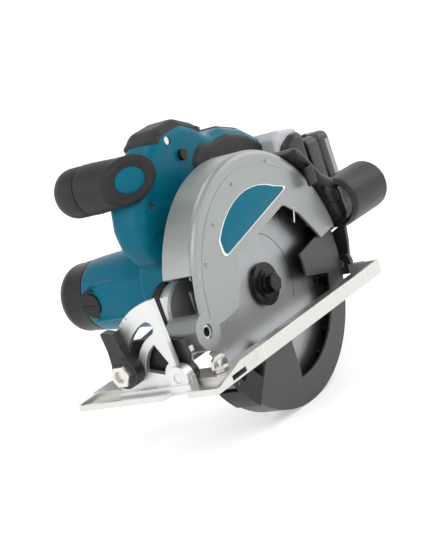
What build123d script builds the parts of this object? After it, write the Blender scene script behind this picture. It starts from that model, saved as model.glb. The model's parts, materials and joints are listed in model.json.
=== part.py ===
from build123d import *
import os
from math import acos, cos, pi, radians, sin, tan

# Cordless circular saw with a 165 mm blade on the left of the motor.
# Frame: +X is the cutting direction, +Y points from the motor to the blade side, +Z is up.
# The origin is the centre of the sole, the flat underside of the base plate.

# ---------------------------------------------------------------- driving dimensions, mm
BASE_LENGTH = 224.0
BASE_WIDTH = 116.0
BASE_SHEET = 3.0
BASE_RIM_WALL = 2.4
BASE_RIM_HEIGHT = 5.0
BASE_FLANGE_HEIGHT = 10.0
SLOT_SIDE_MOTOR = -15.5
SLOT_SIDE_BLADE = 32.5
SLOT_FRONT = 66.0
FENCE_BAR_WIDTH = 16.0
FENCE_BAR_THICKNESS = 3.0
FENCE_CLEARANCE = 0.2
FENCE_X = 86.0
FENCE_FLOOR = 1.4
FENCE_SCREW_Y = 45.0

ARBOR_X = -22.0
ARBOR_Z = 29.4
BLADE_Y = 17.5
BLADE_RADIUS = 82.5
BLADE_BODY = 1.3
BLADE_KERF = 2.0
BLADE_TEETH = 24
BLADE_BORE = 7.94
SPINDLE_RADIUS = 6.0
INNER_FLANGE_RADIUS = 17.0
INNER_FLANGE_WIDTH = 3.0
OUTER_FLANGE_RADIUS = 15.3
OUTER_FLANGE_WIDTH = 3.0
BOLT_RADIUS = 4.0

GUARD_RADIUS = 88.2
GUARD_FRONT_ANGLE = -48.0
GUARD_REAR_ANGLE = -190.0
GUARD_WALL = 1.8
GUARD_MOTOR_FACE = 8.3
GUARD_BLADE_FACE = 28.3
GUARD_HUB_RADIUS = 24.0
NOSE_RADIUS = 89.5
ROLLER_ARM = 2.2

CASE_RADIUS = 93.5
CASE_WALL = 2.5
CASE_BAND_WALL = 3.2
CASE_SCREW_RADIUS = 2.2
DRUM_X = 49.5
DRUM_Z = 38.0
DRUM_RADIUS = 22.0
FRONT_CUT_ANGLE = 22.5
DRUM_BACK = -2.0
LOCK_Y = -14.0
LOCK_TRAVEL = 3.0
GEAR_WALL = 2.2
CASE_MOTOR_FACE = 5.4
CASE_BLADE_FACE = 31.2
BOSS_RADIUS = 18.5
RUNNING_GAP = 0.08
FREE_GAP = 0.4

GEAR_TEETH = 46
PINION_TEETH = 9
GEAR_MODULE = 0.95
GEAR_ADDENDUM = 0.8
GEAR_ANGLE = 46.0
GEAR_BACKLASH = 0.22
GEAR_BACK = -16.0
GEAR_FRONT = -6.0
MOTOR_RADIUS = 30.0
MOTOR_END_RADIUS = 24.5
MOTOR_WALL = 2.4
MOTOR_START = -22.0
MOTOR_END = -108.0
END_COVER = -136.0
BRUSH_Y = MOTOR_END + 9.2
BRUSH_CAP_RADIUS = 8.5

DEPTH_PIVOT_X = 68.5
DEPTH_PIVOT_Z = 28.0
PIVOT_PIN_RADIUS = 5.0
LUG_RADIUS = 12.5
EAR_RADIUS = 9.0
DEPTH_GUIDE_RADIUS = 130.0
DEPTH_GUIDE_HALF_WIDTH = 7.0
DEPTH_STUD_ANGLE = 7.0
DEPTH_RANGE = 32.0
DEPTH_STUD_RADIUS = 3.0
DEPTH_ARM_WALL = 3.0

BEVEL_AXIS_Y = 25.2
BEVEL_AXIS_Z = 11.2
BEVEL_PIN_RADIUS = 3.0
BEVEL_RANGE = 50.0
HINGE_BOSS_RADIUS = 8.0
QUADRANT_BACK = 98.0
QUADRANT_PLATE = 4.5
QUADRANT_RADIUS = 52.5
QUADRANT_SLOT_INNER = 32.4
QUADRANT_SLOT_OUTER = 41.4
BEVEL_BOLT_START = 15.5
BEVEL_BOLT_RADIUS = 4.0
BOLT_HEAD_RADIUS = 7.0
TILT_PLATE_BACK = 91.0
TILT_PLATE = 4.0

HANDLE_Y = -33.0
HANDLE_HALF = 17.0
HANDLE_WALL = 2.5
TRIGGER_HALF = 5.0
TRIGGER_SLOT_X = (-80.0, -56.0)
TRIGGER_TRAVEL = 5.0
LOCK_OFF_RADIUS = 4.0
LOCK_OFF_SPOT = (-25.0, 131.0)
PAD_THICKNESS = 1.4
GRIP_X = 38.0
GRIP_Z = 131.0
GRIP_RADIUS = 17.0
GRIP_TIP = -76.0
GRIP_SEAM = -52.0
GRIP_FACE = -15.0
GRIP_NORMAL = (0.72, 1.0, -0.22)

BATTERY_LENGTH = 113.0
BATTERY_WIDTH = 75.0
BATTERY_NEAR_FACE = 4.5
BATTERY_REAR = -186.0
BATTERY_DEPTH = 34.0
BATTERY_TOP = 103.0
BATTERY_WALL = 2.0
CELL_RADIUS = 9.1
CELL_LENGTH = 65.0
CELL_PITCH = 19.5
RAIL_DEPTH = 9.0
RAIL_GAP = 0.5
RAIL_LOW = 50.0
RAIL_HIGH = 84.0
MOUNT_FAR = -68.0
MOUNT_NEAR = 4.5
LATCH_X = (-172.0, -158.0)
LATCH_Y = (-20.0, -6.0)
LATCH_FLOOR = 98.0

NOZZLE_RADIUS = 19.0
NOZZLE_WALL = 2.2
NOZZLE_END = -171.0
NOZZLE_Y = 31.5
NOZZLE_Z = 55.4

# ---------------------------------------------------------------- values worked out from them
HALF_LENGTH = BASE_LENGTH / 2
HALF_WIDTH = BASE_WIDTH / 2
SLOT_REAR = -HALF_LENGTH
CENTRE_DISTANCE = GEAR_MODULE * (GEAR_TEETH + PINION_TEETH) / 2
MOTOR_X = ARBOR_X + CENTRE_DISTANCE * cos(radians(GEAR_ANGLE))
MOTOR_Z = ARBOR_Z + CENTRE_DISTANCE * sin(radians(GEAR_ANGLE))
BLADE_BACK = BLADE_Y - BLADE_BODY / 2
BLADE_FRONT = BLADE_Y + BLADE_BODY / 2
OUTER_FLANGE_FACE = BLADE_FRONT + OUTER_FLANGE_WIDTH
SPINDLE_NOSE = BLADE_BACK - INNER_FLANGE_WIDTH
QUADRANT_FRONT = QUADRANT_BACK + QUADRANT_PLATE
BEVEL_BOLT_RADIUS_PATH = (QUADRANT_SLOT_INNER + QUADRANT_SLOT_OUTER) / 2
BOLT_Y = BEVEL_AXIS_Y - BEVEL_BOLT_RADIUS_PATH * cos(radians(BEVEL_BOLT_START))
BOLT_Z = BEVEL_AXIS_Z + BEVEL_BOLT_RADIUS_PATH * sin(radians(BEVEL_BOLT_START))
GUIDE_FRONT = CASE_MOTOR_FACE - FREE_GAP - 0.2
GUIDE_BACK = GUIDE_FRONT - DEPTH_ARM_WALL
STUD_X = DEPTH_PIVOT_X - DEPTH_GUIDE_RADIUS * cos(radians(DEPTH_STUD_ANGLE))
STUD_Z = DEPTH_PIVOT_Z + DEPTH_GUIDE_RADIUS * sin(radians(DEPTH_STUD_ANGLE))
CASE_VOID_RADIUS = CASE_RADIUS - CASE_BAND_WALL
CASE_FACE_BACK = CASE_BLADE_FACE - 2.0
BATTERY_BOTTOM = BATTERY_TOP - BATTERY_WIDTH
BATTERY_FAR_FACE = BATTERY_NEAR_FACE - BATTERY_LENGTH
BATTERY_FRONT = BATTERY_REAR + BATTERY_DEPTH
MOUNT_FRONT = BATTERY_FRONT + 36.0

PARTS = {}


# ---------------------------------------------------------------- helpers
def save(name, *solids):
    """Register one node; identical pieces in a node stay separate solids."""
    shapes = []
    for item in solids:
        shapes.extend(item.solids())
    PARTS[name] = shapes


def facing_y(y):
    """Plane whose local axes are world X and Z, at this Y; extruding it goes towards -Y."""
    return Plane(origin=(0, y, 0), x_dir=(1, 0, 0), z_dir=(0, -1, 0))


def facing_x(x):
    """Plane whose local axes are world Y and Z, at this X; extruding it goes towards +X."""
    return Plane(origin=(x, 0, 0), x_dir=(0, 1, 0), z_dir=(1, 0, 0))


def slab_y(sketch, y0, y1):
    """Solid from an (x, z) sketch between two Y values."""
    return extrude(facing_y(y1) * sketch, amount=y1 - y0)


def slab_x(sketch, x0, x1):
    """Solid from a (y, z) sketch between two X values."""
    return extrude(facing_x(x0) * sketch, amount=x1 - x0)


def slab_z(sketch, z0, z1):
    """Solid from an (x, y) sketch between two Z values."""
    return extrude(Plane.XY.offset(z0) * sketch, amount=z1 - z0)


def outline(points, radius=0.0):
    """Closed outline through the points, with one corner radius or one for each corner."""
    if not radius:
        return make_face(Polyline(*points, close=True))
    return make_face(FilletPolyline(*points, radius=radius, close=True))


def box(x0, x1, y0, y1, z0, z1):
    return Pos((x0 + x1) / 2, (y0 + y1) / 2, (z0 + z1) / 2) * Box(x1 - x0, y1 - y0, z1 - z0)


def disc_y(radius, y0, y1, x, z, hole=0.0):
    """Round solid or ring with its axis along Y."""
    ring = Pos(x, z) * Circle(radius)
    if hole:
        ring = ring - Pos(x, z) * Circle(hole)
    return slab_y(ring, y0, y1)


def disc_x(radius, x0, x1, y, z, hole=0.0):
    """Round solid or ring with its axis along X."""
    ring = Pos(y, z) * Circle(radius)
    if hole:
        ring = ring - Pos(y, z) * Circle(hole)
    return slab_x(ring, x0, x1)


def disc_z(radius, z0, z1, x, y, hole=0.0):
    """Round solid or ring with its axis along Z."""
    ring = Pos(x, y) * Circle(radius)
    if hole:
        ring = ring - Pos(x, y) * Circle(hole)
    return slab_z(ring, z0, z1)


def hexagon_y(across_flats, y0, y1, x, z):
    return slab_y(Pos(x, z) * RegularPolygon(across_flats / 2, 6, major_radius=False), y0, y1)


def hexagon_x(across_flats, x0, x1, y, z):
    return slab_x(Pos(y, z) * RegularPolygon(across_flats / 2, 6, major_radius=False), x0, x1)


def polar(radius, angle):
    """Point in the blade's plane, from the arbor."""
    return (ARBOR_X + radius * cos(radians(angle)), ARBOR_Z + radius * sin(radians(angle)))


def sector(inner, outer, start, end, x=ARBOR_X, z=ARBOR_Z):
    """Ring sector in (x, z) between two angles, about the arbor unless told otherwise."""
    sweep = end - start
    first = [(x + r * cos(radians(start)), z + r * sin(radians(start))) for r in (inner, outer)]
    last = [(x + r * cos(radians(end)), z + r * sin(radians(end))) for r in (inner, outer)]
    edges = [
        CenterArc((x, z), outer, start, sweep),
        CenterArc((x, z), inner, start, sweep),
        Line(first[0], first[1]),
        Line(last[0], last[1]),
    ]
    return make_face(edges)


def pill(x0, z0, r0, x1, z1, r1):
    """Outline of a belt round two circles."""
    a = Pos(x0, z0) * Circle(r0)
    b = Pos(x1, z1) * Circle(r1)
    return make_hull([a.edge(), b.edge()])


# ---------------------------------------------------------------- base
def base_plate():
    """Pressed sole with up-turned rims, blade slot, sight notch and fence channel."""
    plate = box(-HALF_LENGTH, HALF_LENGTH, -HALF_WIDTH, HALF_WIDTH, 0, BASE_SHEET)
    tall_side = outline([
        (-HALF_LENGTH, 0),
        (HALF_LENGTH, 0),
        (HALF_LENGTH, BASE_SHEET),
        (HALF_LENGTH - 30, BASE_FLANGE_HEIGHT),
        (-HALF_LENGTH, BASE_FLANGE_HEIGHT),
    ])
    plate += slab_y(tall_side, HALF_WIDTH - BASE_RIM_WALL, HALF_WIDTH)
    plate += box(-HALF_LENGTH, HALF_LENGTH, -HALF_WIDTH, -HALF_WIDTH + BASE_RIM_WALL, 0, BASE_RIM_HEIGHT)
    rear_wall = BASE_RIM_WALL - 0.4
    plate += box(-HALF_LENGTH, -HALF_LENGTH + rear_wall, -HALF_WIDTH, HALF_WIDTH, 0, BASE_FLANGE_HEIGHT)
    plate += box(HALF_LENGTH - BASE_RIM_WALL, HALF_LENGTH, -HALF_WIDTH, HALF_WIDTH, 0, BASE_RIM_HEIGHT - 1)
    # raised channel across the front for the rip fence bar
    half_channel = FENCE_BAR_WIDTH / 2 + 2.2
    channel_top = FENCE_BAR_THICKNESS + 3.4
    plate += box(FENCE_X - half_channel, FENCE_X + half_channel, -HALF_WIDTH, HALF_WIDTH, 0, channel_top)
    half_tunnel = FENCE_BAR_WIDTH / 2 + FENCE_CLEARANCE
    tunnel_top = FENCE_FLOOR + FENCE_BAR_THICKNESS + 2 * FENCE_CLEARANCE
    past = HALF_WIDTH + 1
    plate -= box(FENCE_X - half_tunnel, FENCE_X + half_tunnel, -past, past, FENCE_FLOOR, tunnel_top)
    # window for the blade and lower guard, open through the rear wall
    plate -= box(SLOT_REAR - 1, SLOT_FRONT, SLOT_SIDE_MOTOR, SLOT_SIDE_BLADE, -1, BASE_FLANGE_HEIGHT + 1)
    # sight notch in the front edge
    front = HALF_LENGTH
    notch = outline([(front + 4, 12), (front + 4, 35), (front - 8, 31), (front - 8, 16)])
    plate -= slab_z(notch, -1, BASE_FLANGE_HEIGHT)
    # threaded hole for the fence screw
    plate -= disc_z(2.5, tunnel_top - 1, channel_top + 1, FENCE_X, FENCE_SCREW_Y)
    return plate


def rear_bridge():
    """Cross bar behind the blade window that carries the rear bevel pin."""
    back = -HALF_LENGTH - 2.5
    front = -HALF_LENGTH
    low = BASE_SHEET
    bar = box(back, front, SLOT_SIDE_MOTOR - 14, SLOT_SIDE_BLADE + 12, low, BASE_FLANGE_HEIGHT)
    ear = outline([
        (BEVEL_AXIS_Y - 9, BASE_FLANGE_HEIGHT - 1),
        (BEVEL_AXIS_Y + 9, BASE_FLANGE_HEIGHT - 1),
        (BEVEL_AXIS_Y + 9, BEVEL_AXIS_Z + 7),
        (BEVEL_AXIS_Y - 9, BEVEL_AXIS_Z + 7),
    ], 3)
    bar += slab_x(ear, back, front)
    bar -= disc_x(BEVEL_PIN_RADIUS, back - 1, front + 1, BEVEL_AXIS_Y, BEVEL_AXIS_Z)
    return bar


def slotted_arc(inner, outer, start, end):
    """Curved slot about the bevel axis, in (y, z), with angles measured up from -Y."""
    middle = (inner + outer) / 2
    half = (outer - inner) / 2
    arc = sector(inner, outer, 180 - end, 180 - start, BEVEL_AXIS_Y, BEVEL_AXIS_Z)
    for angle in (start, end):
        centre_y = BEVEL_AXIS_Y - middle * cos(radians(angle))
        centre_z = BEVEL_AXIS_Z + middle * sin(radians(angle))
        arc += Pos(centre_y, centre_z) * Circle(half)
    return arc


def bevel_quadrant():
    """Die-cast quadrant across the front of the base, with the clamp slot and hinge boss."""
    foot_left = BEVEL_AXIS_Y - QUADRANT_RADIUS + 2
    foot_right = BEVEL_AXIS_Y + 8.5
    arc_side = sector(0.5, QUADRANT_RADIUS, 93, 180 - 2, BEVEL_AXIS_Y, BEVEL_AXIS_Z)
    body = arc_side + Pos(BEVEL_AXIS_Y, BEVEL_AXIS_Z) * Circle(HINGE_BOSS_RADIUS)
    body += outline([
        (foot_left, BASE_SHEET),
        (foot_right, BASE_SHEET),
        (foot_right, BEVEL_AXIS_Z),
        (foot_left, BEVEL_AXIS_Z + 2),
    ])
    body -= slotted_arc(
        QUADRANT_SLOT_INNER,
        QUADRANT_SLOT_OUTER,
        BEVEL_BOLT_START - 2.0,
        BEVEL_BOLT_START + BEVEL_RANGE + 4.0,
    )
    body -= sector(11.5, 26.5, 180 - 63, 180 - 15, BEVEL_AXIS_Y, BEVEL_AXIS_Z)
    plate = slab_x(body, QUADRANT_BACK, QUADRANT_FRONT)
    plate += slab_x(outline([
        (foot_left, BASE_SHEET),
        (foot_right, BASE_SHEET),
        (foot_right, BASE_SHEET + 4),
        (foot_left, BASE_SHEET + 4),
    ]), QUADRANT_BACK, QUADRANT_FRONT + 4)
    plate += disc_x(HINGE_BOSS_RADIUS, QUADRANT_FRONT - 0.5, QUADRANT_FRONT + 3, BEVEL_AXIS_Y, BEVEL_AXIS_Z)
    plate -= disc_x(BEVEL_PIN_RADIUS, QUADRANT_BACK - 1, QUADRANT_FRONT + 4, BEVEL_AXIS_Y, BEVEL_AXIS_Z)
    return plate


def bevel_pin(x0, x1):
    return disc_x(BEVEL_PIN_RADIUS - RUNNING_GAP, x0, x1, BEVEL_AXIS_Y, BEVEL_AXIS_Z)


def fence_screw():
    """Thumb screw that clamps the rip fence bar in its channel."""
    channel_top = FENCE_BAR_THICKNESS + 3.4
    screw = disc_z(2.4, channel_top - 1.6, channel_top + 7, FENCE_X, FENCE_SCREW_Y)
    screw += disc_z(5.5, channel_top + 0.3, channel_top + 2.5, FENCE_X, FENCE_SCREW_Y)
    wing = outline([(-8, 0), (8, 0), (7, 6), (3, 8), (-3, 8), (-7, 6)], 1.2)
    root = Plane(origin=(FENCE_X, FENCE_SCREW_Y + 1.1, channel_top + 2.4), x_dir=(1, 0, 0), z_dir=(0, -1, 0))
    blade = extrude(root * wing, 2.2)
    return screw + blade


# ---------------------------------------------------------------- tilting frame
def front_tilt_plate():
    """Upright plate behind the quadrant; its arm carries the depth pivot pin."""
    x0 = TILT_PLATE_BACK
    x1 = TILT_PLATE_BACK + TILT_PLATE
    shape = outline([
        (BOLT_Y - 7, BOLT_Z - 7),
        (BEVEL_AXIS_Y - 6, BEVEL_AXIS_Z - 3.5),
        (BEVEL_AXIS_Y + 2, BEVEL_AXIS_Z + 3),
        (BEVEL_AXIS_Y + 5.5, 22),
        (BEVEL_AXIS_Y + 4, 33),
        (12, 37),
        (-12, 37),
        (BOLT_Y - 7, BOLT_Z + 7),
    ], 2.0)
    shape += Pos(BEVEL_AXIS_Y, BEVEL_AXIS_Z) * Circle(7.2)
    plate = slab_x(shape, x0, x1)
    plate += disc_x(7.2, x1 - 0.5, QUADRANT_BACK - FREE_GAP, BEVEL_AXIS_Y, BEVEL_AXIS_Z)
    plate += disc_x(6.5, x1 - 0.5, QUADRANT_BACK - FREE_GAP, BOLT_Y, BOLT_Z)
    ear = pill(DEPTH_PIVOT_X, DEPTH_PIVOT_Z, EAR_RADIUS, x1 - 8, DEPTH_PIVOT_Z - 1, 8)
    for y in (CASE_MOTOR_FACE - FREE_GAP - 5, CASE_MOTOR_FACE - FREE_GAP - 16):
        plate += slab_y(ear, y, y + 5)
    plate -= disc_x(BEVEL_PIN_RADIUS, x0 - 1, QUADRANT_BACK + 1, BEVEL_AXIS_Y, BEVEL_AXIS_Z)
    plate -= disc_x(BEVEL_BOLT_RADIUS, x0 - 1, QUADRANT_BACK + 1, BOLT_Y, BOLT_Z)
    plate -= disc_x(BOLT_HEAD_RADIUS + FREE_GAP, x0 - 4 - FREE_GAP, x0, BOLT_Y, BOLT_Z)
    plate -= disc_y(PIVOT_PIN_RADIUS, -20, CASE_MOTOR_FACE, DEPTH_PIVOT_X, DEPTH_PIVOT_Z)
    return plate


def rear_tilt_plate():
    """Upright plate behind the base that hangs on the rear bevel pin."""
    back = -HALF_LENGTH - 8.0
    front = -HALF_LENGTH - 5.0
    shape = outline([
        (BEVEL_AXIS_Y - 7, BEVEL_AXIS_Z - 4),
        (BEVEL_AXIS_Y + 5, BEVEL_AXIS_Z),
        (34, 26),
        (36.5, 41),
        (7, 28),
        (CASE_MOTOR_FACE - 4.4, 26),
        (CASE_MOTOR_FACE - 4.4, 12),
    ], 2.5)
    shape += Pos(BEVEL_AXIS_Y, BEVEL_AXIS_Z) * Circle(6.8)
    plate = slab_x(shape, back, front)
    plate += disc_x(6.8, front - 0.5, -HALF_LENGTH - 2.5 - FREE_GAP, BEVEL_AXIS_Y, BEVEL_AXIS_Z)
    plate -= disc_x(BEVEL_PIN_RADIUS, back - 1, -HALF_LENGTH, BEVEL_AXIS_Y, BEVEL_AXIS_Z)
    return plate


def depth_guide():
    """Curved arm about the depth pivot, riveted to the rear plate, with the clamp slot."""
    centre = (DEPTH_PIVOT_X, DEPTH_PIVOT_Z)
    inner = DEPTH_GUIDE_RADIUS - DEPTH_GUIDE_HALF_WIDTH
    outer = DEPTH_GUIDE_RADIUS + DEPTH_GUIDE_HALF_WIDTH
    low = DEPTH_STUD_ANGLE - 3.5
    high = DEPTH_STUD_ANGLE + DEPTH_RANGE + 3.0
    arm = sector(inner, outer, 180 - high - 2.5, 180 + 4, *centre)
    foot_back = -HALF_LENGTH - 5.0
    foot_front = DEPTH_PIVOT_X - DEPTH_GUIDE_RADIUS + DEPTH_GUIDE_HALF_WIDTH - 0.4
    arm += outline([(foot_back, 12), (foot_front, 18), (foot_front, 28), (foot_back, 30)])
    half_slot = DEPTH_STUD_RADIUS + 0.4
    radius = DEPTH_GUIDE_RADIUS
    slot = sector(radius - half_slot, radius + half_slot, 180 - high, 180 - low, *centre)
    return slab_y(arm, GUIDE_BACK, GUIDE_FRONT) - slab_y(slot, GUIDE_BACK - 1, GUIDE_FRONT + 1)


def clamp_bolt():
    """Bevel clamp bolt through the tilt plate and the quadrant slot."""
    bolt = disc_x(BEVEL_BOLT_RADIUS - RUNNING_GAP, TILT_PLATE_BACK, QUADRANT_FRONT + 12, BOLT_Y, BOLT_Z)
    bolt += disc_x(BOLT_HEAD_RADIUS, TILT_PLATE_BACK - 4, TILT_PLATE_BACK, BOLT_Y, BOLT_Z)
    return bolt


def bevel_lever():
    """Clamp lever with its hub on the bevel clamp bolt."""
    x0 = QUADRANT_FRONT + FREE_GAP
    hub = disc_x(10, x0, x0 + 9, BOLT_Y, BOLT_Z)
    arm = outline([
        (BOLT_Y - 9, BOLT_Z + 2),
        (BOLT_Y + 8, BOLT_Z + 1),
        (BOLT_Y + 3, BOLT_Z + 16),
        (BOLT_Y + 1.5, BOLT_Z + 27),
        (BOLT_Y - 9.5, BOLT_Z + 29.5),
        (BOLT_Y - 8, BOLT_Z + 16),
    ], 1.5)
    lever = hub + slab_x(arm, x0 + 1.5, x0 + 8)
    return lever - disc_x(BEVEL_BOLT_RADIUS, x0 - 1, x0 + 10, BOLT_Y, BOLT_Z)


def clamp_nut():
    x0 = QUADRANT_FRONT + FREE_GAP + 9
    nut = hexagon_x(13, x0, x0 + 5, BOLT_Y, BOLT_Z)
    return nut - disc_x(BEVEL_BOLT_RADIUS, x0 - 1, x0 + 6, BOLT_Y, BOLT_Z)


def stop_screw():
    """Small screw that sets the square position against the tilt plate."""
    screw = disc_z(2.0, 8.5, 22, TILT_PLATE_BACK - 4.7, 24)
    head = Plane.XY.offset(22) * Pos(TILT_PLATE_BACK - 4.7, 24) * RegularPolygon(4, 6, major_radius=False)
    return screw + extrude(head, amount=4)


# ---------------------------------------------------------------- blade case and gear housing
def case_region():
    """Side outline of the blade case in (x, z)."""
    disc = Pos(ARBOR_X, ARBOR_Z) * Circle(CASE_RADIUS)
    below = outline([
        (ARBOR_X + 51, ARBOR_Z + 0.6),
        (ARBOR_X + 70, ARBOR_Z - 1.5),
        (ARBOR_X + 120, ARBOR_Z - 1.5),
        (ARBOR_X + 120, ARBOR_Z - 130),
        (ARBOR_X - 120, ARBOR_Z - 130),
        (ARBOR_X - 120, ARBOR_Z + 16.4),
        (ARBOR_X - 68.4, ARBOR_Z + 9.6),
    ])
    return disc - below


def case_window():
    """Opening in the outer face through which the blade shows."""
    return outline([
        (ARBOR_X + 33, ARBOR_Z + 31),
        (ARBOR_X + 51, ARBOR_Z + 0.6),
        (ARBOR_X + 51, ARBOR_Z - 30),
        (ARBOR_X - 80, ARBOR_Z - 30),
        (ARBOR_X - 68.4, ARBOR_Z + 9.6),
        (ARBOR_X - 62, ARBOR_Z + 19),
        (ARBOR_X - 50, ARBOR_Z + 35),
        (ARBOR_X - 35, ARBOR_Z + 46),
    ], [5, 3, 3, 3, 4, 8, 8, 4])


def blade_case():
    """Cast upper guard: band, outer face with its window, motor-side wall and front lug."""
    outer = slab_y(case_region(), CASE_MOTOR_FACE, CASE_BLADE_FACE)
    rim = [e for e in outer.edges().filter_by(GeomType.CIRCLE) if abs(e.center().Y - CASE_BLADE_FACE) < 0.01]
    outer = fillet(rim, 5.0)
    lug = disc_y(LUG_RADIUS, CASE_MOTOR_FACE, CASE_BLADE_FACE, DEPTH_PIVOT_X, DEPTH_PIVOT_Z)
    hub = disc_y(29, CASE_MOTOR_FACE, CASE_MOTOR_FACE + CASE_WALL, ARBOR_X, ARBOR_Z)
    void = disc_y(CASE_VOID_RADIUS, CASE_MOTOR_FACE + CASE_WALL, CASE_FACE_BACK, ARBOR_X, ARBOR_Z)
    # the band is open low at the front, where the motor-side wall ends in a round drum face
    wall_cut = sector(55, CASE_RADIUS + 2, 0, FRONT_CUT_ANGLE) - Pos(DRUM_X, DRUM_Z) * Circle(DRUM_RADIUS)
    band_cut = sector(CASE_VOID_RADIUS - 0.5, CASE_RADIUS + 2, 0, FRONT_CUT_ANGLE)
    outer -= slab_y(wall_cut, CASE_MOTOR_FACE - 1, CASE_MOTOR_FACE + CASE_WALL)
    outer -= slab_y(band_cut, CASE_MOTOR_FACE + CASE_WALL, CASE_FACE_BACK)
    case = outer + lug + hub - void
    case -= slab_y(case_window(), CASE_FACE_BACK - 3, CASE_BLADE_FACE + 1)
    case -= disc_y(23.0, CASE_MOTOR_FACE - 1, CASE_MOTOR_FACE + CASE_WALL + 1, ARBOR_X, ARBOR_Z)
    case -= disc_y(PIVOT_PIN_RADIUS, 0, CASE_BLADE_FACE + 1, DEPTH_PIVOT_X, DEPTH_PIVOT_Z)
    for x, z in case_screw_spots():
        case -= disc_y(CASE_SCREW_RADIUS, CASE_MOTOR_FACE - 1, CASE_MOTOR_FACE + CASE_WALL + 1, x, z)
    case -= disc_y(DEPTH_STUD_RADIUS, CASE_MOTOR_FACE - 1, CASE_MOTOR_FACE + 1.5, STUD_X, STUD_Z)
    for x, z in ((15.6, 76), (49, 58), (70, 37), (-31, 79)):
        case += disc_y(1.4, CASE_BLADE_FACE - 0.5, CASE_BLADE_FACE + 0.9, ARBOR_X + x, ARBOR_Z + z)
    # outlet for sawdust, under the nozzle
    case -= slab_y(sector(CASE_VOID_RADIUS - 3, CASE_RADIUS + 2, 139, 152), 12, 26)
    return case


def case_badge():
    """Blank half-moon plate on the outer face of the blade case."""
    start = (ARBOR_X + 50, ARBOR_Z + 34)
    end = (ARBOR_X - 47, ARBOR_Z + 56)
    top = (ARBOR_X + 8, ARBOR_Z + 66)
    face = make_face([ThreePointArc(start, top, end), Line(end, start)])
    return slab_y(face, CASE_BLADE_FACE, CASE_BLADE_FACE + 0.5)


def pivot_pin():
    """Hollow pin of the depth hinge, carried by the tilt plate ears and the case lug."""
    back = CASE_MOTOR_FACE - FREE_GAP - 17
    radius = PIVOT_PIN_RADIUS - RUNNING_GAP
    return disc_y(radius, back, CASE_BLADE_FACE - 1.5, DEPTH_PIVOT_X, DEPTH_PIVOT_Z, 3.2)


def gear_shell(inset):
    """Outside of the gear housing, or its inside with a wall as the inset."""
    gear_tip = GEAR_MODULE * (GEAR_TEETH / 2 + 0.5)
    shape = pill(
        ARBOR_X,
        ARBOR_Z,
        gear_tip + 1.0 + GEAR_WALL - inset,
        MOTOR_X,
        MOTOR_Z,
        MOTOR_RADIUS - 2 - inset,
    )
    if not inset:
        return slab_y(shape, MOTOR_START, CASE_MOTOR_FACE)
    return slab_y(shape, MOTOR_START + 2.5, CASE_MOTOR_FACE - 3.0)


def gear_housing():
    """Gear case behind the blade case, with the spindle boss towards the blade."""
    housing = gear_shell(0) + drum(DRUM_BACK, CASE_MOTOR_FACE, DRUM_RADIUS)
    housing -= gear_shell(GEAR_WALL)
    for x, z in case_screw_spots():
        housing -= disc_y(CASE_SCREW_RADIUS, CASE_MOTOR_FACE - 4.5, CASE_MOTOR_FACE + 1, x, z)
    lock_front = MOTOR_X + MOTOR_RADIUS
    housing -= disc_x(2.5 + 0.1, lock_front - 12, lock_front + 30, LOCK_Y, MOTOR_Z)
    housing += disc_y(BOSS_RADIUS, CASE_MOTOR_FACE - 3, 12.2, ARBOR_X, ARBOR_Z)
    housing -= disc_y(16.0, 0.0, 11.0, ARBOR_X, ARBOR_Z)
    housing -= disc_y(SPINDLE_RADIUS + 4.2, -1, 13, ARBOR_X, ARBOR_Z)
    housing -= disc_y(BOSS_RADIUS + 1, 11.0, 11.9, ARBOR_X, ARBOR_Z, BOSS_RADIUS - 1)
    housing -= disc_y(11.0, MOTOR_START - 1, MOTOR_START + 3, MOTOR_X, MOTOR_Z)
    return housing


def bearing(y0, width, bore, outside, x, z):
    """Plain ring that stands for a sealed ball bearing."""
    return disc_y(outside, y0, y0 + width, x, z, bore + 0.05)


def case_screw_spots():
    """Places of the screws between blade case and gear housing, round the motor axis."""
    spots = []
    for angle in (-30, 60, 150):
        spots.append((MOTOR_X + 20 * cos(radians(angle)), MOTOR_Z + 20 * sin(radians(angle))))
    return spots


def case_screws():
    """Countersunk screws that hold the blade case to the gear housing."""
    front = CASE_MOTOR_FACE + CASE_WALL - 0.2
    return [disc_y(CASE_SCREW_RADIUS, CASE_MOTOR_FACE - 4.5, front, x, z) for x, z in case_screw_spots()]


def drum(y0, y1, radius):
    """Front drum of the gear housing, clear of the tilt plate's ears as the depth changes."""
    solid = slab_y(pill(DRUM_X - 18, DRUM_Z, radius - 6, DRUM_X, DRUM_Z, radius), y0, y1)
    solid -= box(DEPTH_PIVOT_X - 4, DRUM_X + 50, y0 - 1, y1 + 1, DRUM_Z - 50, DRUM_Z + 50)
    return solid - disc_y(EAR_RADIUS + 0.8, y0 - 1, y1 + 1, DEPTH_PIVOT_X, DEPTH_PIVOT_Z)


def drum_ring():
    """Black ring behind the drum."""
    return drum(DRUM_BACK - 6, DRUM_BACK, DRUM_RADIUS + 1.5) - gear_shell(0)


def depth_stud():
    """Stud on the blade case that runs in the slot of the depth guide."""
    return disc_y(DEPTH_STUD_RADIUS, GUIDE_BACK - 11, CASE_MOTOR_FACE + 1.5, STUD_X, STUD_Z)


def depth_lever():
    """Clamp lever for the cutting depth, behind the blade case."""
    y1 = GUIDE_BACK - 1.6
    shape = pill(STUD_X, STUD_Z, 7.0, STUD_X - 34, STUD_Z - 8, 5.0)
    lever = slab_y(shape, y1 - 7, y1)
    return lever - disc_y(DEPTH_STUD_RADIUS + RUNNING_GAP, y1 - 8, y1 + 1, STUD_X, STUD_Z)


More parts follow.
